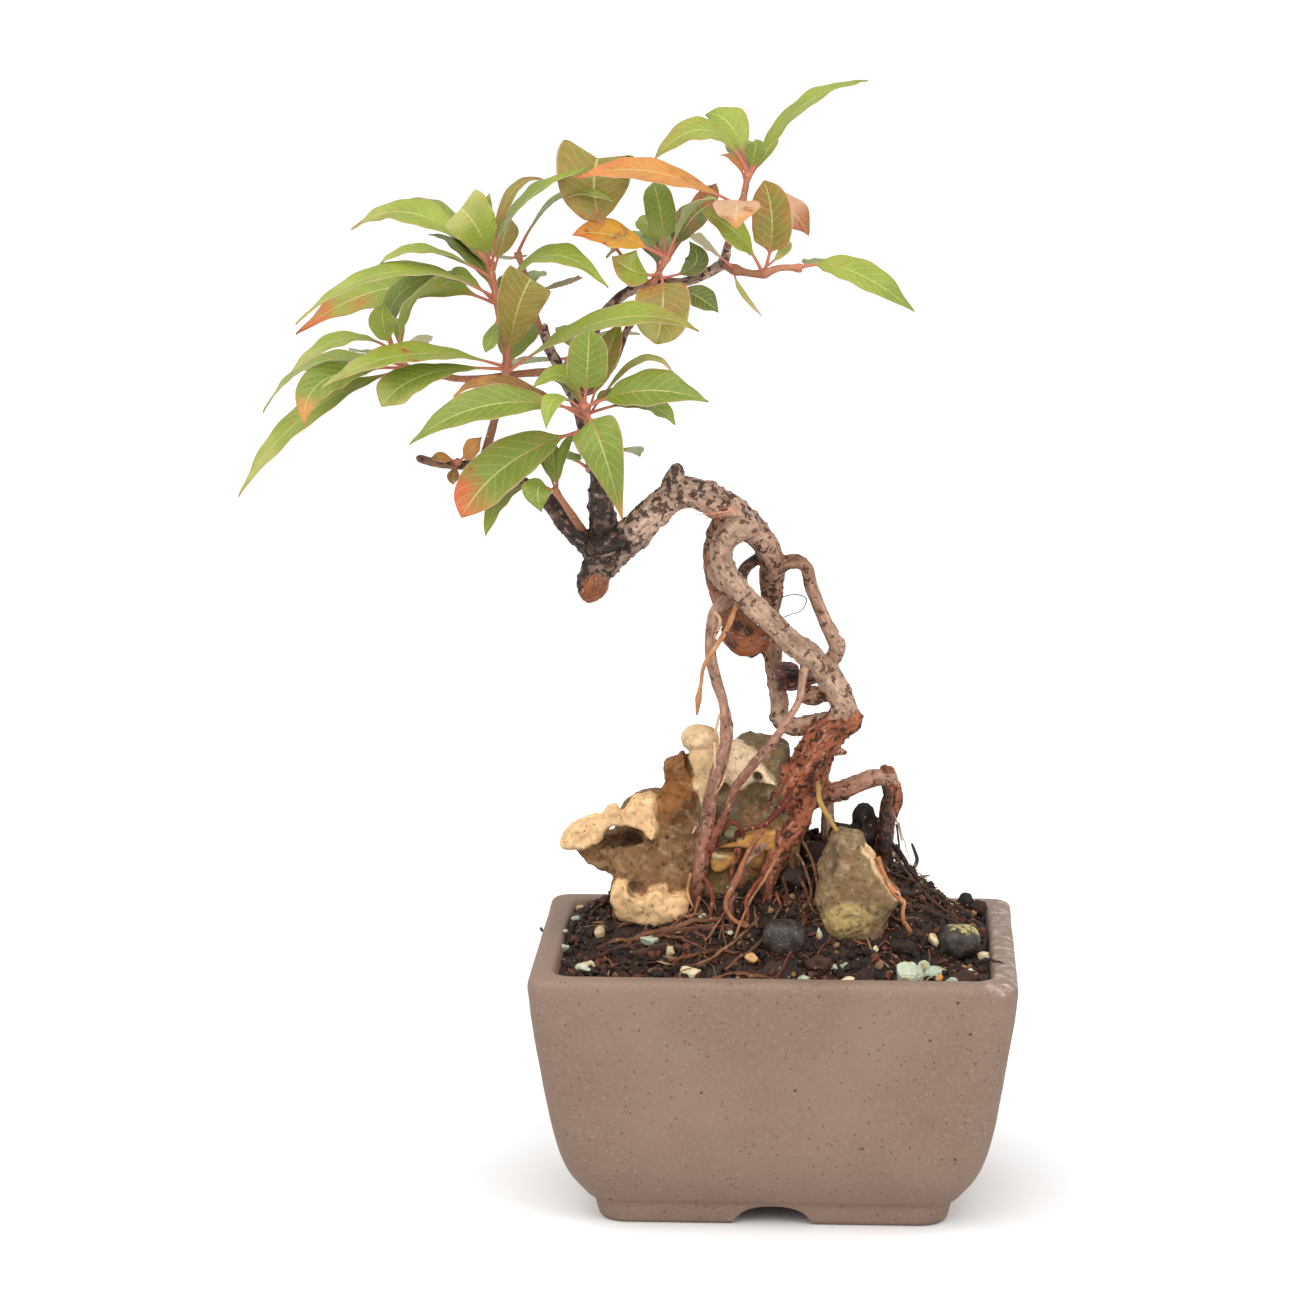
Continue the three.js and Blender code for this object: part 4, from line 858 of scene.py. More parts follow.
# The larger grains: [x, y, half length, half width, half height, turn]
GRAINS = [
    (42, -42, 4.6, 4, 4.4, 20), (51, -34, 4, 3, 2.4, 5), (61, -36, 2.8, 2.6, 2.6, 40),
    (56, -45, 2.3, 2.3, 2.6, 15), (24, -46, 3.2, 2.6, 2.3, -20), (9, -44, 2.2, 2, 2.1, 50),
    (-59, -30, 3.1, 2.4, 2.2, -10), (-39, -22, 3.4, 2.4, 1.9, 8), (-27, -37, 4.2, 2.8, 2.1, 4),
    (30, 34, 3, 2.4, 2, 12), (-22, 40, 3.4, 2.6, 2.2, -30), (-48, 36, 2.8, 2.6, 2.1, 18),
]
PUMICE_GRAINS = (5, 9)
CELADON = ["A4AF95", "B3BB9F", "99A68C", "BFC4A9"]
TAN = ["CDB184", "D9C49A", "C69A62", "BFA57C"]

# Small crumbs of the same stone: [place, half width, half height, tone]
SMALL_GRAINS = [
    ((22, -36, 84), 1.9, 1.1, "98A58A"), ((19, -38, 84), 1.4, 1.1, "A6B196"),
    ((47, -29, 81), 2.3, 2.7, "A6B196"), ((14, -28, 92), 1.2, 2.0, "A6B196"),
    ((-68, -9, 82), 2.2, 1.4, "A6B196"), ((-65, 15, 86), 1.9, 0.8, "A6B196"),
    ((-68, 5, 84), 0.9, 0.8, "B8BFA4"), ((-59, -36, 82), 1.6, 0.9, "A6B196"),
    ((-23, -17, 95), 1.7, 0.9, "A6B196"), ((-16, -25, 92), 1.2, 0.6, "B8BFA4"),
    ((-14, -27, 92), 0.9, 0.8, "A6B196"), ((55, 13, 92), 1.4, 1.2, "98A58A"),
    ((-18, -1, 105), 1.6, 1.2, "8C987F"), ((-14, -11, 103), 1.6, 0.9, "B8BFA4"),
    ((34, 40, 90), 1.3, 1.0, "A6B196"), ((-40, 42, 86), 1.6, 1.2, "A6B196"),
    ((8, 46, 90), 1.4, 1.0, "B8BFA4"), ((-6, 50, 85), 1.1, 0.9, "A6B196"),
    ((-33, -28, 86), 1.7, 1.9, "CDB184"), ((-7, -36, 86), 1.9, 1.6, "C98A42"),
    ((50, -17, 88), 1.9, 2.1, "D6BE92"), ((-56, -9, 87), 1.9, 2.0, "C2A376"),
    ((-66, 45, 82), 1.9, 0.9, "B79A6A"), ((-34, -12, 96), 1.6, 0.9, "CDB184"),
    ((32, -30, 88), 0.9, 1.1, "D9C49A"), ((66, -20, 84), 2.2, 1.3, "C2A376"),
    ((43, 46, 84), 1.6, 1.1, "CDB184"), ((52, -40, 81.5), 1.4, 1.3, "C98A42"),
]
zeolite_skin, pumice_skin = Skin(), Skin()
for number, (x, y, long, wide, high, turn) in enumerate(GRAINS, start=1):
    base = soil_height(np.array([x], float), np.array([y], float))[0]
    stone, faces = broken_stone((long, wide, high), 300 + number, 5)
    stone = lying(stone, turn, (x, y, base + 0.35 * high))
    is_pumice = number in PUMICE_GRAINS
    shade = tone((TAN if is_pumice else CELADON)[number % 4])
    (pumice_skin if is_pumice else zeolite_skin).add(stone, None, faces, tint=shade)
random = np.random.default_rng(77)
for number, (place, half, high, shade) in enumerate(SMALL_GRAINS):
    stone, faces = broken_stone((half, half * 0.8, high), 500 + number, 4)
    zeolite_skin.add(lying(stone, random.uniform(0, 180), place), None, faces, tint=tone(shade))
grain_names = [f"grain_{number:02d}" for number in range(1, len(GRAINS) + 1)]
zeolite_names = [name for number, name in enumerate(grain_names, start=1) if number not in PUMICE_GRAINS]
dress("zeolite_gravel", zeolite_skin, [zeolite], zeolite_names, crease=32)
pumice_names = [grain_names[number - 1] for number in PUMICE_GRAINS]
dress("pumice_gravel", pumice_skin, [pumice], pumice_names, crease=32)

# Two dark pebbles that lie on the soil near the front and the right. They are smooth and round, dusted with
# grit, and the right one has some yellow lichen.
pebble_stone, nodes, place = new_material("dark pebble", 0.5, specular=0.4)
cloud = nodes.cloud(place, scale=260, detail=7)
shade = nodes.mix(nodes.step(cloud, 0.35, 0.7), tone("231E1C"), tone("4C433C"))
shade = nodes.stain(shade, nodes.dots(place, scale=1300, radius=0.3, share=0.16), "8A8076")
lichen = nodes.carried("lichen")
growth = nodes.step(nodes.sum("ADD", lichen, nodes.cloud(place, scale=600, detail=5)), 1.0, 1.2)
shade = nodes.stain(shade, growth, "B5A862")
nodes.coat(shade, nodes.gritty(place, scale=900, swell=0.6), strength=0.35, distance=0.0002)

# [name, place, radii, share of lichen]. A power above 2 makes their sections squarer than a circle.
PEBBLES = [
    ("pebble_left", (3, -30, 91.5), (6.9, 6.2, 5.9), 0.1),
    ("pebble_right", (58, -12, 86.5), (6.9, 6.5, 5.4), 0.6),
]
SQUARE_POWER = 2.6
ball, ball_faces = unit_ball(6)
for number, (name, place, radii, lichen_share) in enumerate(PEBBLES):
    squarer = ball / (np.abs(ball) ** SQUARE_POWER).sum(axis=1)[:, None] ** (1 / SQUARE_POWER)
    stone = squarer * radii
    stone = stone + ball * (0.35 * noise(stone, 6, 60 + number, 3))[:, None] + place
    top_share = soft(0.2, 0.9, ball[:, 2] + 0.3 * ball[:, 0])
    skin = Skin()
    skin.add(stone, None, ball_faces, lichen=lichen_share * top_share)
    dress(f"{name}_stone", skin, [pebble_stone], [name])

# The limestones: a large one that the roots sit on, with thin crusts over a porous body, a small one against
# the roots on the right and a flat ochre one between. Rain has eaten holes in them. They stand in the soil.
STONE_STEP = 0.55
JOIN_WIDTH = 1.0
HOLLOW_WIDTH = 0.8
WORN_OFF = 0.4


def skin_of(field, low, step):
    """Closed skin where a grid of values crosses zero: a point in each cell that it runs through, at the
    mean of the crossings of the cell's edges, and a square round each crossed edge."""
    cells = np.array(field.shape) - 1
    squares, places = [], []
    for axis in range(3):
        inner = [slice(1, -1)] * 3
        inner[axis] = slice(None, -1)
        start = field[tuple(inner)]
        inner[axis] = slice(1, None)
        end = field[tuple(inner)]
        at = np.argwhere((start < 0) != (end < 0))
        start, end = start[tuple(at.T)], end[tuple(at.T)]
        edge = at + [0 if i == axis else 1 for i in range(3)]
        place = edge.astype(float)
        place[:, axis] += start / (start - end)
        one, two = (axis + 1) % 3, (axis + 2) % 3
        around = []
        for shift_one, shift_two in ((-1, -1), (0, -1), (0, 0), (-1, 0)):
            cell = edge.copy()
            cell[:, one] += shift_one
            cell[:, two] += shift_two
            around.append(np.ravel_multi_index(cell.T, cells))
        around = np.stack(around, 1)
        around[start >= 0] = around[start >= 0][:, ::-1]
        squares.append(around)
        places.append(place)
    squares, places = np.concatenate(squares), np.concatenate(places)
    _, ids = np.unique(squares.ravel(), return_inverse=True)
    ids = ids.ravel()
    often = np.bincount(ids)
    points = np.column_stack([np.bincount(ids, np.repeat(places[:, i], 4)) / often for i in range(3)])
    return low + step * points, ids.reshape(-1, 4)


def evened(values, squares, rounds, share=0.5):
    """Each value moved by a share of the way to the mean of its neighbours, a number of times."""
    starts = squares.ravel()
    ends = squares[:, [1, 2, 3, 0]].ravel()
    often = np.bincount(starts, minlength=len(values))[:, None]
    values = np.asarray(values, float)
    for _ in range(rounds):
        near = np.column_stack([np.bincount(starts, column[ends], len(values)) for column in values.T])
        values = values + share * (near / often - values)
    return values


def outward_of(points, squares):
    """Unit normals at the points, from the squares round them."""
    a, b, c, d = (points[squares[:, i]] for i in range(4))
    across = np.cross(c - a, d - b)
    corners = squares.ravel()
    total = np.column_stack([np.bincount(corners, np.repeat(way, 4), len(points)) for way in across.T])
    return total / (np.linalg.norm(total, axis=1)[:, None] + 1e-12)


def pit_distance(points, size, seed):
    """Distance in mm to the nearest of random points, one in each cell of size mm."""
    base = np.floor(points / size).astype(np.int64)
    best = np.full(len(points), 9.0)
    for offset in np.ndindex(3, 3, 3):
        cell = base + offset - 1
        spot = np.column_stack([chance(cell, seed + i) for i in range(3)])
        best = np.minimum(best, np.linalg.norm(points - (cell + spot) * size, axis=1))
    return best


def outline_distance(x, z, outline):
    """Distance in mm from places to a closed outline of [x, z] corners, below zero inside it."""
    corners = np.asarray(outline, float)
    far = np.full(x.shape, 99.0)
    inside = np.zeros(x.shape, bool)
    for (x0, z0), (x1, z1) in zip(corners, np.roll(corners, -1, axis=0)):
        run, rise = x1 - x0, z1 - z0
        share = np.clip(((x - x0) * run + (z - z0) * rise) / (run * run + rise * rise), 0, 1)
        far = np.minimum(far, np.hypot(x - x0 - share * run, z - z0 - share * rise))
        if rise:
            inside ^= ((z0 > z) != (z1 > z)) & (x < run * (z - z0) / rise + x0)
    return np.where(inside, -far, far)


def stained(shade, share, text):
    """Colours of points, blended into the one in the text by a share."""
    return shade + share * (np.array(tone(text)) - shade)


def melted(first, second, width):
    """Lesser of two distances, with the crease between them rounded over a width in mm."""
    share = np.clip(0.5 + 0.5 * (second - first) / width, 0, 1)
    return second * (1 - share) + first * share - width * share * (1 - share)


def weathered(low, high, parts, hollows, seed, swell):
    """Stone from parts that melt together, less its hollows: points, squares, and the number of the part
    that each point belongs to. A part is {outline, y: (front, back), round} or {at, radii}."""
    axes = [np.arange(a, b, STONE_STEP) for a, b in zip(low, high)]
    x, y, z = np.meshgrid(*axes, indexing="ij")
    flat_x, flat_z = x[:, 0], z[:, 0]
    spots = np.column_stack([flat_x.ravel(), np.zeros(flat_x.size), flat_z.ravel()])
    bend = swell * noise(spots, 15, seed, 3).reshape(flat_x.shape)[:, None]
    fray = 0.7 * noise(spots, 3.2, seed + 5, 3).reshape(flat_x.shape)[:, None]

    def ball_distance(part):
        q = [(c - m) / r for c, m, r in zip((x, y, z), part["at"], part["radii"])]
        near = np.sqrt(q[0] ** 2 + q[1] ** 2 + q[2] ** 2)
        slope = np.sqrt(sum((v / r) ** 2 for v, r in zip(q, part["radii"]))) + 1e-6
        return near * (near - 1) / slope

    distances = []
    for part in parts:
        if "outline" in part:
            front, back = part["y"]
            edge = outline_distance(flat_x, flat_z, part["outline"])[:, None] + fray + part["round"]
            depth = np.abs(y + bend * part.get("bend", 1) - (front + back) / 2)
            depth = depth - (back - front) / 2 + part["round"]
            outer = np.hypot(np.maximum(edge, 0), np.maximum(depth, 0))
            distances.append(outer + np.minimum(np.maximum(edge, depth), 0) - part["round"])
        else:
            distances.append(ball_distance(part))
    field = distances[0]
    for distance in distances[1:]:
        field = melted(field, distance, JOIN_WIDTH)
    field = field + WORN_OFF
    for hollow in hollows:
        field = -melted(-field, ball_distance(hollow), HOLLOW_WIDTH)
    for axis in range(3):
        for end in (0, -1):
            edge_slice = [slice(None)] * 3
            edge_slice[axis] = end
            field[tuple(edge_slice)] = 1
    points, squares = skin_of(field, np.array(low, float), STONE_STEP)
    owner = np.argmin(distances, axis=0)
    cell = np.clip(np.round((points - low) / STONE_STEP).astype(int), 0, np.array(field.shape) - 1)
    return evened(points, squares, 2), squares, owner[tuple(cell.T)]


limestone = stone_material("limestone", 0.9, "EAD3AE", 0.8)
ochre_stone = stone_material("ochre stone", 0.85, "E0B878", 0.5)
CREAM, ORANGE_CREAM, BROWN, OCHRE, YELLOW, GREY = "F3D6B0", "F2C792", "85613F", "8F5C30", "E6C494", "6B5C45"
LARGE_PARTS = [
    {"outline": [(-66, 115), (-63.5, 113), (-64, 111.5), (-60, 109), (-53, 104), (-39, 103), (-38, 121),
                 (-53, 118)],
     "y": (-7, 8), "round": 2, "tone": BROWN, "pits": 0.9},
    {"outline": [(-58, 114), (-53, 104.5), (-53, 92), (-44, 86), (-10, 86), (8, 92), (8, 121), (-5, 128),
                 (-20, 131), (-26, 125), (-34, 124), (-39, 128), (-44, 121)],
     "y": (-10, 15), "round": 5, "tone": BROWN, "pits": 0.9},
    {"outline": [(-70, 116), (-69, 118.5), (-67, 121), (-62.5, 123.5), (-56, 125.5), (-54, 128.5),
                 (-51, 129.5), (-49.5, 127), (-45.5, 131.5), (-39.5, 133.5), (-37.5, 132), (-37.5, 122),
                 (-39, 117.5), (-42.5, 121), (-48, 122.5), (-52, 122), (-54, 117.5), (-61, 115)],
     "y": (-15, -3), "round": 1.6, "tone": ORANGE_CREAM, "pits": 0.25},
    {"outline": [(-52.5, 103.5), (-51.5, 105.5), (-47, 105), (-45.5, 101), (-43.5, 99.5), (-38, 103.5),
                 (-35.5, 103.5), (-34.5, 101), (-29, 101), (-26.5, 99), (-28, 92), (-40, 90), (-50, 92),
                 (-53, 99)],
     "y": (-17, 0), "round": 1.6, "tone": ORANGE_CREAM, "pits": 0.2},
    {"outline": [(-39, 131), (-37, 134), (-36, 137.5), (-36.5, 141), (-34, 142.5), (-32.5, 144), (-31, 146),
                 (-29, 145), (-28, 141), (-26, 137), (-25.5, 131), (-26, 124), (-33.5, 120), (-39, 123)],
     "y": (-7, 4), "round": 1.3, "tone": OCHRE, "pits": 0.8},
    {"at": (-24.5, -4, 149.6), "radii": (6.6, 6, 5.2), "tone": "EDCBA0", "pits": 0.1},
    {"at": (-22.5, -4, 144), "radii": (5.6, 5.6, 6), "tone": YELLOW, "pits": 0.2},
    {"outline": [(-29, 144.5), (-27, 147), (-20, 147), (-18.5, 140), (-19.5, 132), (-23, 126), (-26, 132),
                 (-27, 139)],
     "y": (-11, 6), "round": 2.5, "tone": YELLOW, "pits": 0.2},
    {"outline": [(-21, 141), (-18, 147), (-13.5, 149), (-6.5, 147.5), (-5, 144), (-3, 140.5), (0, 136),
                 (-7.5, 137), (-11, 132.5), (-15.5, 136), (-19, 136)],
     "y": (-11, 3), "round": 2, "tone": CREAM, "pits": 0.2},
    {"outline": [(-23, 140), (-14, 145.5), (-9.5, 149.5), (-6.5, 148.5), (1, 147), (3, 145), (4, 141),
                 (7, 134), (7, 105), (-25, 105)],
     "y": (-7, 21), "round": 6, "tone": GREY, "pits": 0.7},
    {"at": (-18, -4, 122), "radii": (9, 9, 12), "tone": GREY, "pits": 0.6},
    {"at": (-38, 6, 116), "radii": (15, 12, 16), "tone": "7C5F44", "pits": 0.8},
    {"at": (-26, 4, 132), "radii": (10, 9, 12), "tone": OCHRE, "pits": 0.6},
]
LARGE_HOLLOWS = [
    {"at": (-28.5, -10, 128.5), "radii": (3.2, 5, 5)}, {"at": (-31, -9, 125), "radii": (4, 3.5, 3)},
    {"at": (-51, -12, 120), "radii": (3.6, 5, 3)}, {"at": (-40.5, -13, 117), "radii": (2, 3, 1.5)},
    {"at": (-45, -14, 102.6), "radii": (2.2, 4, 2)}, {"at": (-27.6, -10, 138), "radii": (1, 4, 4)},
    {"at": (-50, -7, 117.5), "radii": (9, 5, 2)}, {"at": (-34, -15, 104), "radii": (3.4, 4, 1.6)},
    {"at": (-6, -11, 139), "radii": (1.2, 3, 1.2)}, {"at": (-2, 18, 128), "radii": (4, 6, 5)},
    {"at": (-36, 20, 118), "radii": (6, 5, 5)}, {"at": (-20, 23, 112), "radii": (5, 5, 4)},
    {"at": (-31, 0, 148.2), "radii": (1.7, 8, 1.1)},
]
SMALL_PARTS = [
    {"outline": [(18, 123.5), (22, 124), (27, 122), (30, 116), (34.5, 109), (39, 102.5), (38.5, 100),
                 (35, 93.5), (33, 86), (20, 84), (14.5, 92), (12.5, 102), (13, 110.5), (15, 117)],
     "y": (-28, -6), "round": 6, "tone": "7E684A", "pits": 0.7, "bend": 0.6},
    {"outline": [(20, 123), (27, 121.5), (31, 115), (35, 108), (39, 102.5), (36, 99), (31, 104), (27, 112),
                 (23, 119)],
     "y": (-26, -10), "round": 3, "tone": "E6C08F", "pits": 0.3, "bend": 0.4},
    {"at": (23, -24, 96), "radii": (9, 7, 8), "tone": "A08A58", "pits": 0.9},
    {"at": (37, -19, 102), "radii": (3, 4.5, 3.4), "tone": "EFC68E", "pits": 0.1},
]
SMALL_HOLLOWS = [
    {"at": (25, -33, 98.2), "radii": (5, 4, 0.7)}, {"at": (16, -29, 117), "radii": (4, 5, 6)},
    {"at": (33, -32, 93), "radii": (4, 5, 4)}, {"at": (17.5, -26, 120), "radii": (0.9, 3, 1)},
]
OCHRE_PARTS = [
    {"outline": [(-20.5, 115.5), (-17.5, 117.5), (-13, 118.5), (-10, 121.5), (-6, 122.5), (0, 122),
                 (0, 116), (-5, 114.5), (-11.5, 115), (-13, 112), (-15.5, 109), (-20, 107), (-21, 111.5)],
     "y": (-14, -4), "round": 1.6, "tone": "C48C4A", "pits": 0.2},
    {"at": (-5, -6, 112), "radii": (9, 5, 5), "tone": "A87840", "pits": 0.3},
    {"at": (-14, -12, 121), "radii": (3.3, 2.4, 2.6), "tone": "8A8C68", "pits": 0.1},
    {"at": (-18, -13, 114.5), "radii": (3, 2.5, 2.4), "tone": "E2C690", "pits": 0.3},
]
OCHRE_HOLLOWS = [{"at": (-14, -14, 115.5), "radii": (6, 3, 0.9)}]
LARGE_PIT_SPACING = 2.8
SMALL_PIT_SPACING = 1.6

# [name, node, material, lowest and highest corner of its grid, parts, hollows, swell of its faces in mm]
STONES = [
    ("large_stone", "limestone_large", limestone, (-73, -21, 84), (12, 25, 157),
     LARGE_PARTS, LARGE_HOLLOWS, 2.2),
    ("small_stone", "limestone_small", limestone, (9, -35, 83), (43, 0, 127),
     SMALL_PARTS, SMALL_HOLLOWS, 1.6),
    ("ochre_flat_stone", "ochre_stone", ochre_stone, (-24, -18, 104), (7, 2, 126),
     OCHRE_PARTS, OCHRE_HOLLOWS, 0.8),
]
for number, (name, node, material, low, high, parts, hollows, swell) in enumerate(STONES):
    seed = 80 + 20 * number
    points, squares, owner = weathered(low, high, parts, hollows, seed, swell)
    colours = np.array([tone(part["tone"]) for part in parts])[owner]
    pitted = evened(np.array([part["pits"] for part in parts])[owner][:, None], squares, 3)[:, 0]
    outward = outward_of(points, squares)
    relief = (0.35 + 0.5 * pitted) * noise(points, 5, seed + 1, 3) + 0.16 * noise(points, 1.5, seed + 2, 2)
    holes = soft(1.0, 0.15, pit_distance(points, LARGE_PIT_SPACING, seed + 3))
    holes = holes + 0.5 * soft(0.7, 0.2, pit_distance(points, SMALL_PIT_SPACING, seed + 4))
    points = points + outward * (relief - 0.75 * holes * pitted)[:, None]
    shaded = evened(colours, squares, 2)
    mottle = noise(points, 7, seed + 6, 4)[:, None]
    shaded = shaded * (1 + 0.22 * mottle)
    # The pits are darkened as deep as they sink: painted shade.
    shaded = shaded * (1 - 0.55 * (holes * pitted)[:, None])
    moss = soft(0.25, 0.8, noise(points, 9, seed + 7, 3) + 0.5 * pitted - 0.4)[:, None]
    shaded = stained(shaded, 0.45 * moss, "6B5B33")
    # Faces that turn downward are darkened: painted shade.
    under = soft(0.1, -0.7, outward[:, 2])[:, None]
    shaded = shaded * (1 - 0.35 * under)
    # Inside each hollow the stone darkens towards its middle: painted shade.
    for hollow in hollows:
        deep = np.linalg.norm((points - hollow["at"]) / (np.array(hollow["radii"]) + 0.6), axis=1)
        shaded = shaded * (1 - 0.7 * soft(1.15, 0.75, deep))[:, None]
    skin = Skin()
    skin.add(points, squares, tint=np.clip(shaded, 0.002, 1))
    dress(name, skin, [material], [node])

# The tree: one piece of wood, from the roots that clasp the stones up to its bare twigs. Its bark is thin
# and pale with dark corky flakes on the arch, nearly black on the leader, and red and scaly near the soil.
WOOD_STEP = 0.62
FLAKE_SIZE = 2.7
WART_SPACING = 2.6
CRACK_SPACING = 2.6
SWELLING_SIZE = 7
STREAK_SIZE = 2.2

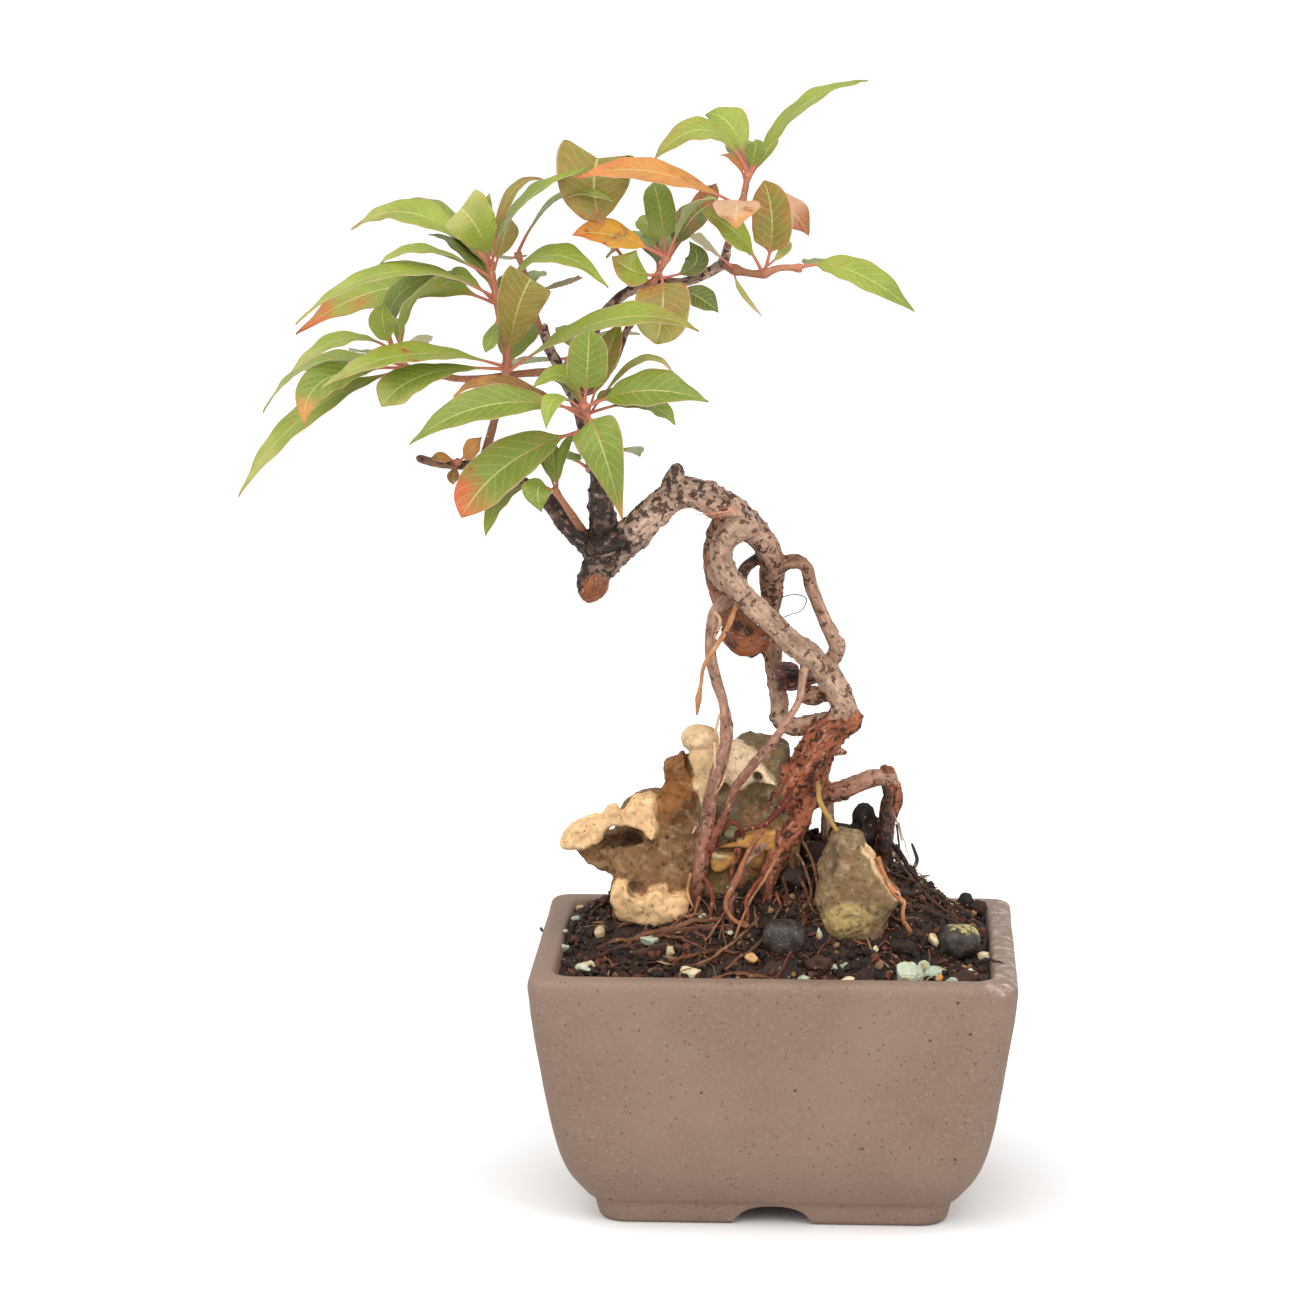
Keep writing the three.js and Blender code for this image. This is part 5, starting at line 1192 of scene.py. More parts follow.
# Each limb is the tones of its two ends and its [x, y, z, radius] points
LIMBS = [
    # Trunk, from its cut lower end on the left, over the arch and down behind the front root
    ("dark", "flaky", [(-60, 0, 199.5, 3.8), (-56, 0, 205, 5.7), (-52, 0, 210, 6.2),
        (-45, -1, 215.5, 5.1)]),
    ("flaky", "brown", [(-45, -1, 215.5, 5.1), (-39, -1, 222, 5.1), (-33, -1, 227, 5.1), (-28, -1, 228, 5),
        (-22, -1, 226.2, 5), (-15, -1, 222.3, 5), (-10.5, 0, 218.3, 4.7), (-4.5, 2, 212, 4.4),
        (-2, 5, 205.5, 4.1), (-2, 8, 198, 3.8), (-2.5, 11, 190, 3.5), (-3.3, 12, 183, 3.2)]),
    ("brown", "pale", [(-3.3, 12, 183, 3.2), (-2.3, 12, 176, 3.1), (-1.3, 11, 169, 3.1), (0, 9, 161, 3.1),
        (1, 7, 153, 3.1)]),
    ("flaky", "flaky", [(-35, -1, 226, 4), (-32, -1, 235, 2.6)]),
    ("pale", "pale", [(0, 7.5, 155, 2.9), (4, 5, 152, 3), (9, 3, 153, 3.1), (16, 0, 155, 3.2)]),
    # Thick front root, from under the arch to its knee on the right
    ("pale", "pale", [(-10, -3, 218, 4), (-14.5, -6, 216.5, 4.2), (-17.3, -8, 213, 4),
        (-17.7, -9, 208, 3.7), (-15, -9, 202, 3.8), (-10, -8, 196, 3.8), (-3, -7, 189, 3.9),
        (4, -6, 182, 3.9), (11, -5, 176, 4.1), (17, -4, 169, 4.3), (20.5, -3, 162, 4.4),
        (21.3, -3, 156, 4.5)]),
    # From the knee down to the soil and on into it
    ("scaly", "scaly", [(23, -3, 156, 4.4), (18, -3, 153, 5.2), (13, -3, 148, 5.7), (9, -3, 140, 6),
        (3, -2, 130, 5.7), (-2, -1, 121, 5.3), (1, 2, 106, 5), (4, 4, 86, 4), (8, 4, 64, 2.6)]),
    # Its front branch, which lies on the mound
    ("scaly", "scaly", [(16, 1, 147, 3.2), (14, 0, 139, 3.3), (10, -3, 131, 3.3), (7, -6, 123, 3.5),
        (2, -9, 117, 3.6), (-1, -11, 111, 3.3), (-3, -13, 105, 2.8), (-3, -14, 98, 2.4), (-2, -14, 86, 2),
        (0, -12, 72, 1.5)]),
    ("scaly", "red", [(-1, -4, 123, 2.4), (-6, -8, 120.5, 1.6), (-10, -11, 119, 1.4), (-13, -13, 112, 1.3),
        (-15, -13, 94, 1.2)]),
    ("tan", "red", [(0, -6, 121, 1.9), (-4, -12, 117, 1.6), (-9, -16, 113, 1.4), (-12, -18, 108, 1.3),
        (-14, -21, 103, 1.2), (-14, -23, 97, 1.2), (-11, -25, 86, 1.1)]),
    # Short root behind it that ends in a cut red stub
    ("brown", "stub", [(-18, -2, 218, 3.4), (-20, 0, 213, 2.9), (-21, 1, 207, 2.9), (-20, 2, 201, 3.3),
        (-18, 3, 195, 3.9), (-15, 3, 189, 4.8), (-12, 3, 184, 5.3), (-9, 3, 179, 4.3)]),
    # Long thin root on the left, down the face of the stone
    ("tan", "red", [(-16, 0, 194, 2.3), (-20, -3, 190, 2.2), (-21, -6, 184, 2.2), (-21, -8, 177, 2.1),
        (-19, -9, 169, 1.9), (-17, -10, 163, 1.8), (-16, -12, 157, 2.1), (-16, -14, 150, 2.3),
        (-18, -16, 143, 2.4), (-20, -16, 136, 2.4), (-21, -15, 130, 2.4), (-22, -14, 123, 2.6),
        (-23, -13, 116, 2.8), (-24, -13, 109, 2.5), (-25, -12, 102, 2.2), (-26, -11, 94, 2),
        (-27, -9, 80, 1.6), (-28, -8, 66, 1.2)]),
    ("orange", "orange", [(-12, -6, 196, 1), (-16, -9, 186, 1.2), (-20, -13, 180, 1.2), (-23, -15, 175, 1),
        (-24, -16, 168, 0.9), (-24.5, -16, 165, 1.4), (-25, -16, 160, 0.7)]),
    # Looped root on the right, its knob, its cut end and the stub beside it
    ("brown", "tan", [(1, 4, 204, 2.5), (5, 3, 206, 2.3), (9, 3, 204, 2.2), (10, 3, 199, 2.3),
        (13, 4, 191, 2.3), (16, 4, 184, 2.4), (19, 4, 178, 2.7)]),
    ("tan", "plum", [(19, 4, 179.5, 2.6), (18, 5, 175, 2.7), (15, 7, 171, 2.6), (11, 8, 168, 2.7),
        (4, 7, 166, 2.9)]),
    ("scaly", "brown", [(10, 4, 163, 2.7), (14, 2, 163, 2.3), (20, -1, 163, 2.2)]),
    # Thin root in front
    ("tan", "red", [(9, -5, 176, 1.6), (8, -10, 170, 1.5), (7, -12, 164, 1.5), (4, -14, 159, 1.5),
        (0, -16, 153, 1.6), (-4, -17, 148, 1.7), (-9, -18, 142, 1.7), (-13, -17, 136, 1.6),
        (-16, -16, 128, 1.6), (-19, -15, 121, 1.6), (-22, -13.5, 114, 1.7)]),
    # Hairpin root on the right
    ("scaly", "tan", [(9, 1, 128, 3.2), (17, 5, 130.5, 3.3), (23, 7, 132, 3.2), (29, 9, 134.3, 3.1),
        (35.5, 11, 134.8, 3)]),
    ("scaly", "brown", [(35, 11, 135.8, 2.8), (37, 11.5, 129.5, 3.1), (35.5, 12, 122, 3.2),
        (34, 12, 115, 3), (33, 12, 106, 2.6), (32, 11, 90, 2), (33, 10, 74, 1.4)]),
    ("pale", "tan", [(14, 1, 140, 2.1), (15, 6, 133, 2), (16, 9, 125, 2.2), (16, 9, 117, 2.5),
        (17, 9, 104, 2.4), (18, 9, 86, 1.8)]),
    # Root at the back, down the mound
    ("brown", "earthy", [(8, 0, 141, 3.2), (12, 9, 134, 3.1), (10, 20, 126, 2.9), (4, 29, 114, 2.6),
        (0, 36, 100, 2.2), (-2, 38, 86, 1.8), (-2, 36, 70, 1.3)]),
    # Dark limb across the opening under the arch
    ("dark", "brown", [(-2, 6, 208, 2.4), (-7, 5, 206, 2), (-10, 2, 204, 1.8), (-11.5, -3, 201, 1.9),
        (-11, -6, 197, 2)]),
    # Leader with its dead tip
    ("dark", "flaky", [(-53, 0, 208, 5.3), (-55, 0, 216, 4.5), (-56, 0, 224, 4.1), (-56, 0, 232, 3.5),
        (-58, 0, 239, 2.9), (-61, 1, 248, 2.4), (-64, 2, 257, 2.1), (-67, 3, 262, 1.9), (-70, 4, 268, 1.8),
        (-73, 5, 274, 1.6), (-74, 5, 280, 1.1)]),
    # Lower branch on the left, cut off at its end
    ("dark", "twig", [(-56, 0, 208, 4.4), (-60.5, 1, 211.5, 3.8), (-65.5, 2, 216, 3.3),
        (-71, 3.5, 222, 2.9), (-75.5, 5, 226.5, 2.5), (-82, 7, 230, 2.2), (-88.5, 8, 233, 2),
        (-95, 9, 235.5, 1.9), (-101, 9, 235, 1.8), (-108, 8, 235.5, 1.7), (-114, 8, 237, 1.7)]),
    # Two crown branches
    ("twig", "flaky", [(-64, 2, 255, 1.7), (-60, 5, 273, 1.8), (-56, 8, 283, 1.8), (-47, 10, 291, 1.7),
        (-39, 10, 293, 1.7), (-29, 9, 294, 1.7), (-18, 8, 300, 1.8), (-16.5, 7.3, 305, 1.5)]),
    ("twig", "twig", [(-66, 3, 259, 1.6), (-60, 0, 260, 1.5), (-56, -3, 263, 1.4), (-52, -4, 269, 1.4),
        (-49, -4, 277, 1.3), (-45.5, -3, 284, 1.2)]),
]

# Small swellings, dead nubs and torn ends: (tones, points)
BURRS = [
    ("stub", "stub", [(-57, -2, 201, 3.6), (-58, -1, 198, 4.4), (-59.5, -1, 196, 3.6)]),
    ("dark", "dark", [(-56, -4, 211, 4), (-50, -3, 213, 4)]),
    ("scaly", "tan", [(14, -3, 149, 3), (19, -3, 146, 1.8), (21.5, -3, 145.5, 1.1)]),
    ("flaky", "flaky", [(-24, -2, 229.8, 2.6), (-21, -1, 230, 2.2)]),
    ("flaky", "flaky", [(-10, -2, 221, 2.6), (-7.5, -2, 221.5, 1.6)]),
    ("plum", "plum", [(4, 6, 170, 3), (1.5, 5, 169.5, 3.2)]),
    ("brown", "brown", [(12, -2, 163.5, 3.2), (9.5, -2, 163, 2.6)]),
    ("stub", "stub", [(-15, 1, 182, 3.6), (-11, 1, 179.5, 4.2), (-6, 2, 181, 4.2)]),
    ("scaly", "scaly", [(2, -4, 139, 3.4), (-2, -4, 131, 3.8), (-3, -3, 123, 4)]),
    ("dark", "earthy", [(34, 8, 112, 2.6), (35, 8, 122, 2.2), (35.5, 9, 131, 1.6)]),
    ("tan", "tan", [(-20, 2, 207, 1.4), (-21, -4, 203, 1.6), (-17.5, -5, 199, 1.8)]),
]

# Tone of the bark, of its dark flakes, share of flakes, height of its warts, and how wet it looks
BARK = {
    "pale": ("B8977F", "5A3A2C", 0.36, 0.35, 0.0), "flaky": ("D0AF9A", "33211A", 0.50, 0.7, 0.2),
    "dark": ("5A4034", "1C1412", 0.66, 0.7, 0.8), "brown": ("9C7258", "3E241B", 0.42, 0.45, 0.1),
    "tan": ("B5907A", "63402F", 0.26, 0.25, 0.0), "scaly": ("9C5838", "2E160F", 0.42, 0.75, 0.25),
    "red": ("86402A", "33140C", 0.36, 0.35, 0.3), "stub": ("92542F", "2C120A", 0.20, 0.2, 0.7),
    "plum": ("6E423A", "1A0F0F", 0.42, 0.35, 0.7), "orange": ("BE8557", "84512F", 0.14, 0.15, 0.1),
    "earthy": ("4C3220", "1C110C", 0.50, 0.7, 0.1), "twig": ("94715B", "3E2A22", 0.36, 0.35, 0.1),
}


def painted_tubes(paths, low, high, step):
    """Grid of distances to the nearest of the balls that stand along paths of [x, y, z, radius] rows."""
    low = np.array(low, float)
    field = np.full(np.ceil((np.array(high) - low) / step).astype(int), 9.0, np.float32)
    for path in paths:
        for row in path:
            centre, radius = row[:3], row[3]
            first = np.maximum(np.floor((centre - radius - 2.5 * step - low) / step).astype(int), 0)
            last = np.ceil((centre + radius + 2.5 * step - low) / step).astype(int)
            block = field[first[0]:last[0], first[1]:last[1], first[2]:last[2]]
            x, y, z = (low[i] + step * (first[i] + np.arange(block.shape[i])) - centre[i] for i in range(3))
            far = np.sqrt(x[:, None, None] ** 2 + y[None, :, None] ** 2 + z[None, None, :] ** 2) - radius
            np.minimum(block, far, out=block)
    return field


def nearest_rows(points, rows):
    """Place in rows of the ball [x, y, z, radius] that each point is nearest to the surface of."""
    found = []
    for block in np.array_split(points, max(1, len(points) // 3000)):
        far = np.linalg.norm(block[:, None] - rows[None, :, :3], axis=2) - rows[None, :, 3]
        found.append(np.argmin(far, axis=1))
    return np.concatenate(found)


bark, nodes, place = new_material("bark", 0.8, specular=0.35)
shade = nodes.carried("tint", "Color")
strand = nodes.carried("strand", "Vector")
fibre = nodes.cloud(strand, scale=900, detail=5)
shade = nodes.stain(shade, nodes.step(fibre, 0.34, 0.52, 0.35, 0.0), "5A3826")
pale_fleck = nodes.patch(strand, scale=1100, detail=5, low=0.56, high=0.66)
shade = nodes.stain(shade, pale_fleck, "E2C8B4", share=0.35)
flake_tone = nodes.carried("flake_tone", "Color")
flake_share = nodes.carried("flakes")
scale_noise = nodes.cloud(place, scale=430, detail=6)
flakes = nodes.step(nodes.sum("MULTIPLY_ADD", flake_share, 0.34, scale_noise), 0.69, 0.73)
shade = nodes.mix(nodes.sum("MULTIPLY", flakes, 0.88), shade, flake_tone)
wet = nodes.sum("MULTIPLY_ADD", fibre, 0.5, nodes.carried("wet"))
height = nodes.sum("MULTIPLY_ADD", nodes.gritty(place, scale=1000, swell=1.0), 0.5, fibre)
height = nodes.sum("MULTIPLY_ADD", flakes, 0.6, height)
nodes.coat(shade, height, strength=0.8, distance=0.0007, roughness=nodes.step(wet, 0.2, 1.0, 0.85, 0.35))

limb_paths, limb_rows, bark_rows = [], [], []
names = list(BARK)
bark_table = np.array([[*tone(base), *tone(flake), share, warts, wet_share]
                       for base, flake, share, warts, wet_share in BARK.values()])
for number, (start_tone, end_tone, points) in enumerate(LIMBS + BURRS):
    path = curve_through(points, 0.9)
    side, up = frame_along(path[:, :3])
    run = np.concatenate([[0], np.cumsum(np.linalg.norm(np.diff(path[:, :3], axis=0), axis=1))])
    limb_paths.append(path)
    limb_rows.append(np.column_stack([path, side, up, run + 300 * number]))
    share = np.linspace(0, 1, len(path))[:, None]
    start_row, end_row = bark_table[names.index(start_tone)], bark_table[names.index(end_tone)]
    bark_rows.append(start_row * (1 - share) + end_row * share)
limb_rows, bark_rows = np.concatenate(limb_rows), np.concatenate(bark_rows)
wood_low, wood_high = (-119, -27, 64), (43, 44, 309)
wood_field = painted_tubes(limb_paths, wood_low, wood_high, WOOD_STEP)
points, squares = skin_of(wood_field, np.array(wood_low, float), WOOD_STEP)
points = evened(points, squares, 4)
row = nearest_rows(points, limb_rows)
jitter = 1.7 * np.column_stack([noise(points, 4, 261 + i, 3) for i in range(3)])
rows, barks = limb_rows[row], evened(bark_rows[nearest_rows(points + jitter, limb_rows)], squares, 2)
outward = outward_of(points, squares)
offset = points - rows[:, :3]
strand = np.column_stack([(offset * rows[:, 4:7]).sum(1), (offset * rows[:, 7:10]).sum(1),
                          0.3 * rows[:, 10]])
thick = np.clip(rows[:, 3] / 3, 0.25, 1.2)
flake_share, wart_height = barks[:, 6], barks[:, 7]
weather_side = outward @ np.array([-0.55, 0, 0.83])
on_arch = soft(190, 205, points[:, 2]) * soft(0.15, 0.35, barks[:, 6])
flake_noise = noise(strand * (1, 1, 1.6), FLAKE_SIZE, 201, 3) + 0.6 * np.clip(weather_side, 0, 1) * on_arch
cut = 0.75 - 1.35 * flake_share
flake = soft(cut, cut + 0.2, flake_noise)
warts = soft(1.1, 0.2, pit_distance(points, WART_SPACING, 211)) * thick
cracks = soft(0.22, 0.0, np.abs(noise(strand * (1, 1, 2.2), CRACK_SPACING, 221, 2)))
swelling = noise(points, SWELLING_SIZE, 231, 2)
relief = (0.38 * flake + 0.6 * wart_height * warts + 0.3 * swelling - 0.2) * thick
relief += (0.22 * noise(strand, 1.7, 241, 2) - 0.22 * cracks) * thick * (0.5 + wart_height)
points = points + outward * relief[:, None]
base, dark_flake = barks[:, :3], barks[:, 3:6]
streak = noise(strand * (1, 1, 0.45), STREAK_SIZE, 251, 3)[:, None]
shade = base * (1 + 0.3 * streak)
shade = shade + (0.35 * flake)[:, None] * (dark_flake - shade)
# The cracks, sunk into the relief above, are darkened: painted shade.
shade = shade * (1 - 0.45 * cracks * (0.4 + wart_height))[:, None]
red_low = (soft(160, 135, points[:, 2]) * soft(-6, 2, points[:, 0]) * 0.4)[:, None]
red = np.array(tone("7A3F28")) * (1 + 0.4 * streak)
shade = shade + 0.6 * red_low * (red - shade) * soft(0, 0.6, streak + 0.3)
soil_stain = soft(12, 0, points[:, 2] - soil_height(points[:, 0], points[:, 1]))[:, None]
shade = stained(shade, 0.65 * soil_stain, "4A2417")

# Dark spots where the wood has hollows and cut faces: at the hollows the dark is painted shade, at the cut
# faces it is the wood's own tone. [place, radius, tone]
SHADED_HOLLOWS_AND_CUTS = [
    ((-13, -2, 186), 2.6, "1C0F0B"), ((-9, -2, 184.5), 2.4, "24120C"), ((-14.5, -2, 180), 2.2, "2B150D"),
    ((5, 3, 168.5), 3.2, "0C0909"), ((3, 2, 171), 2, "2C1B1B"), ((14, -5, 164), 2, "3B2018"),
    ((-18, -6, 190), 2.2, "3C221B"), ((-4, 1, 212), 3.6, "2B1A14"), ((-1, 2, 196), 3, "1F1512"),
    ((-53, -5, 207), 3.4, "2A1D17"), ((-48, -5, 211), 2.4, "17100D"), ((-21, 0, 201), 3, "5D3325"),
    ((13, -3, 143), 3, "3A1B12"), ((2, -4, 127), 3.2, "2E150E"), ((34, 9, 121), 3.6, "3A2118"),
]
# The wood darkens towards each spot's middle, as painted shade at the hollows.
for place_of, radius, text in SHADED_HOLLOWS_AND_CUTS:
    near = soft(radius, 0.5 * radius, np.linalg.norm(points - place_of, axis=1))[:, None]
    shade = stained(shade, 0.85 * near, text)
wood_skin = Skin()
flakes = np.clip(flake_share + 0.12 * np.clip(weather_side, -0.5, 1) * on_arch, 0, 1)
wood_skin.add(points, squares, tint=np.clip(shade, 0.002, 1), flake_tone=dark_flake, flakes=flakes,
              strand=strand * MM, wet=np.clip(barks[:, 8], 0, 1))
dress("wood", wood_skin, [bark], ["tree_wood"])

# Fine roots: thin strings that have peeled away from the thick roots or feel their way down over the stones
# and into the soil. Each grows out of the wood at its upper end.
STRINGS = [
    # [points in mm, radius at the start, radius at the end, tone]
    ([(-18.5, -14, 117), (-18.4, -15, 120.7), (-14.3, -15.5, 125.3), (-11.4, -15, 123), (-10.5, -13, 119)],
        0.8, 0.6, "6E3020"),
    ([(13.2, -7, 136), (13.2, -14, 134.7), (14.5, -17, 131), (16.4, -18, 128), (19.6, -19, 123.5)],
        0.9, 0.7, "B08A4A"),
    ([(32, -16, 114), (34.6, -20, 109), (37.8, -24, 105), (40.6, -24, 101.5), (40.3, -24, 98),
        (42.6, -23, 92)], 0.9, 0.7, "B9794F"),
    ([(-4, -17, 123), (-7.4, -19, 118), (-10.5, -21, 112.6), (-11.7, -22, 108), (-14.6, -23, 103.8),
        (-15.5, -24, 100.5), (-13.6, -25, 96.7), (-9, -26, 93.5)], 0.85, 0.75, "96603F"),
    ([(-4.2, -17, 108), (-7.4, -20, 104.4), (-9.2, -22, 101), (-8.6, -23, 97), (-10.5, -24, 91)], 0.8, 0.6,
        "8A452C"),
    ([(1.5, -17, 117), (-3.2, -21, 108.6), (-8.5, -26, 100.5), (-12.6, -31, 91)], 0.5, 0.4, "9B6A48"),
    ([(-23.9, -15, 101), (-25.8, -18, 95.5), (-27, -20, 91)], 0.6, 0.4, "8C5A3A"),
    ([(-23, -14, 108), (-20, -17, 101), (-21, -20, 94)], 0.6, 0.5, "7A3B28"),
    ([(-25, -13, 98), (-30, -17, 94), (-36, -22, 90)], 0.5, 0.35, "7A4A35"),
    ([(4.4, -9, 133), (-0.3, -13, 127), (-5.1, -15, 124), (-11.4, -14, 122), (-14, -13, 119)], 1.1, 0.7,
        "5F2A1C"),
    ([(-24.5, -13.5, 124.4), (-26.5, -14, 121)], 0.4, 0.3, "C9A788"),
    ([(-27, -13, 108), (-28, -14, 102), (-26, -15, 97)], 0.6, 0.4, "B98A5C"),
    ([(-21, -16, 133), (-19, -17.5, 143), (-19.5, -17.5, 152), (-18, -15, 160)], 0.5, 0.4, "C4A184"),
    ([(-15, -15, 150), (-15.5, -16, 143), (-17, -18, 138), (-19.5, -17.5, 134)], 0.45, 0.35, "B98F70"),
    ([(-20, -10, 192), (-18, -11, 189), (-19.5, -13, 184)], 0.7, 0.4, "C49A78"),
    ([(-16, -13, 186), (-14, -13, 183), (-13, -12, 180.5)], 0.5, 0.25, "6E4638"),
    ([(0, 8, 193), (5.3, 7, 194.6), (8.8, 7, 193.4), (7.9, 7, 190), (1, 8, 186.5)], 0.16, 0.14, "4A3630"),
    ([(-8, 1, 194), (-9.5, -1, 190), (-9, -2, 187)], 0.3, 0.2, "8A6652"),
    ([(35, 8, 134), (36, 8.5, 128), (38, 9, 121), (40, 9.5, 114)], 0.4, 0.2, "B08468"),
    ([(39, 11, 120), (41, 10, 113), (43, 9, 106)], 0.2, 0.12, "C9A28A"),
    ([(4, -10, 112), (9, -15, 104), (12, -20, 97), (11, -25, 92)], 0.7, 0.5, "55301F"),
    ([(6, -8, 114), (10, -12, 108), (11, -17, 101), (8, -24, 95)], 0.6, 0.4, "6E4A30"),
    ([(2, -13, 107), (4, -18, 100), (3, -24, 95), (-1, -28, 92)], 0.7, 0.5, "4A2A1D"),
    ([(8, -6, 118), (11, -9, 112), (13, -14, 106), (12.5, -19, 99)], 0.5, 0.4, "7A5236"),
    ([(0, -14, 102), (3, -19, 97), (8, -25, 92.5)], 0.6, 0.4, "8A4A30"),
    ([(-3, -15, 101), (-6, -20, 96), (-5, -26, 91)], 0.6, 0.4, "7A3522"),
    ([(-12, -20, 103), (-17, -24, 96), (-22, -30, 90)], 0.5, 0.4, "84513A"),
    ([(-2, -16, 98), (-8, -24, 93), (-16, -33, 88), (-24, -40, 84.5)], 0.7, 0.5, "7B5338"),
    ([(36, 8, 112), (42, 6, 104), (50, 3, 96), (58, 2, 90)], 0.7, 0.4, "4C3324"),
    ([(35, 9, 116), (41, 9, 107), (48, 8, 99), (56, 9, 92)], 0.8, 0.5, "33231A"),
    ([(38, 8, 113), (43, 10, 104), (48, 14, 97)], 0.8, 0.3, "2B1D17"),
    ([(33, 7, 108), (40, 1, 100), (47, -4, 93)], 0.6, 0.4, "5E3D29"),
    ([(40, -2, 98), (48, -8, 91), (56, -4, 89)], 0.4, 0.3, "7A4E38"),
    ([(38, 7, 108), (39, 12, 112), (38, 16, 118)], 0.5, 0.3, "3A2A20"),
    ([(42, 10, 103), (45, 12, 107), (43, 15, 112)], 0.9, 0.35, "3A2C24"),
    ([(-2, 37, 98), (-8, 42, 91), (-16, 45, 87)], 0.8, 0.4, "5E3D29"),
    ([(1, 35, 103), (8, 42, 93), (14, 46, 88)], 0.7, 0.4, "6A4630"),
    ([(33, 12, 103), (36, 22, 95), (42, 30, 88)], 0.8, 0.4, "4A3022"),
    ([(17, 10, 104), (15, 20, 104), (18, 30, 98)], 0.8, 0.4, "5A3A28"),
]
string_skin = Skin()
for number, (knots, start_radius, end_radius, text) in enumerate(STRINGS):
    path = curve_through(knots, 0.8)
    path = path + 0.28 * np.column_stack([noise(path, 4, 400 + 3 * number + i, 2) for i in range(3)])
    radius = np.linspace(start_radius, end_radius, len(path))
    radius = radius * (1 + 0.18 * noise(path, 2.5, 401 + number, 2))
    points, faces, ends = tube(path, radius, 8)
    run = np.append(np.repeat(np.arange(len(path)) * 0.8, 8), [0, 0.8 * len(path)])
    strand = np.column_stack([points[:, 0] * 0.5, points[:, 1] * 0.5, 0.3 * run + 40 * number]) * MM
    light_share = 1 + 0.3 * noise(points * (1, 1, 0.5), 2.4, 402 + number, 2)[:, None]
    string_skin.add(points, faces, ends, tint=np.array(tone(text)) * light_share,
                    flake_tone=tone("3A2118"), flakes=0.2, strand=strand, wet=0.1)
dress("fine_roots", string_skin, [bark])

# A dry strip of a red leaf that has fallen across the arch.
dry_leaf, nodes, place = new_material("dry leaf strip", 0.6)
cloud = nodes.cloud(place, scale=300, detail=4)
shade = nodes.mix(nodes.step(cloud, 0.35, 0.65), tone("C46A4C"), tone("DBA078"))
nodes.coat(shade, nodes.gritty(place, scale=900, swell=0.6), strength=0.3, distance=0.0002)
strip_skin = Skin()
for knots, width in (
        ([(-25.8, -7.5, 222.4), (-21, -9.8, 223), (-15, -9.8, 224), (-10.8, -8.2, 224.9)], 0.6),
        ([(-23.5, -7.5, 221), (-18, -9.3, 222.2), (-12.5, -9, 223.4)], 0.45),
        ([(-20, -9.5, 224.4), (-15, -9.6, 225.1), (-12, -9, 225.6)], 0.3)):
    path = curve_through(knots, 0.8)
    profile = width * np.sin(np.linspace(0.12, math.pi - 0.12, len(path))) ** 0.6
    points, faces, ends = tube(path, profile, 10, 0.35)
    strip_skin.add(points, faces, ends)
dress("fallen_strip", strip_skin, [dry_leaf])

# Shoots: soft young stems that end in whorls of long pointed leaves. A leaf has a pink stalk, a sunk pale
# rib with arched side veins, and a thin pale margin. Many are flushed or spotted orange, red and brown.

# Outlines of the blades: shares of the length, and of the width there
BLADES = {
    "long": ([0, 0.18, 0.4, 0.58, 0.78, 0.92, 1], [0.12, 0.58, 0.98, 0.93, 0.5, 0.17, 0.02]),
    "short": ([0, 0.24, 0.5, 0.74, 0.92, 1], [0.14, 0.7, 1, 0.72, 0.24, 0.02]),
    "bud": ([0, 0.1, 0.55, 0.85, 1], [0.2, 0.4, 1, 0.55, 0.05]),
    "blunt": ([0, 0.2, 0.45, 0.7, 0.9, 1], [0.12, 0.5, 0.85, 1, 1.08, 1.02]),
    "oval": ([0, 0.1, 0.3, 0.55, 0.8, 0.93, 1], [0.25, 0.7, 0.98, 1, 0.85, 0.5, 0.1]),
    "round": ([0, 0.2, 0.45, 0.7, 0.88, 1], [0.1, 0.35, 0.7, 1, 0.85, 0.1]),
    "early": ([0, 0.12, 0.3, 0.5, 0.7, 0.88, 1], [0.3, 0.85, 1, 0.8, 0.5, 0.2, 0.02]),
    "full": ([0, 0.15, 0.35, 0.6, 0.8, 0.93, 1], [0.15, 0.55, 0.9, 1, 0.85, 0.5, 0.06]),
}
STALK_ROWS = 9
BLADE_ROWS = 40
HALF_RING = np.array([-1, -0.94, -0.8, -0.6, -0.38, -0.18, -0.07, 0, 0.07, 0.18, 0.38, 0.6, 0.8, 0.94, 1])
RING = np.concatenate([HALF_RING, HALF_RING[-2:0:-1]])
ON_TOP = np.concatenate([np.zeros(len(HALF_RING)), np.ones(len(HALF_RING) - 2)])
STALK_GAP = 0.7
STALK_RADIUS = 0.62
HALF_THICK = 0.16
QUILT_HEIGHT = 0.13
RIB_SUNK = 0.10
RIB_UNDER = 0.5

LEAF_TONES = {
    "green": "76872B", "lime": "8C9A34", "pale": "A9A85C", "olive": "8A7A2E", "dark": "5B6825",
    "brown": "8E6034", "orange": "CB8542", "amber": "DD9C30", "peach": "CFA080", "rust": "9F5231",
    "scarlet": "C4552F", "cream": "D9CFB0",
}

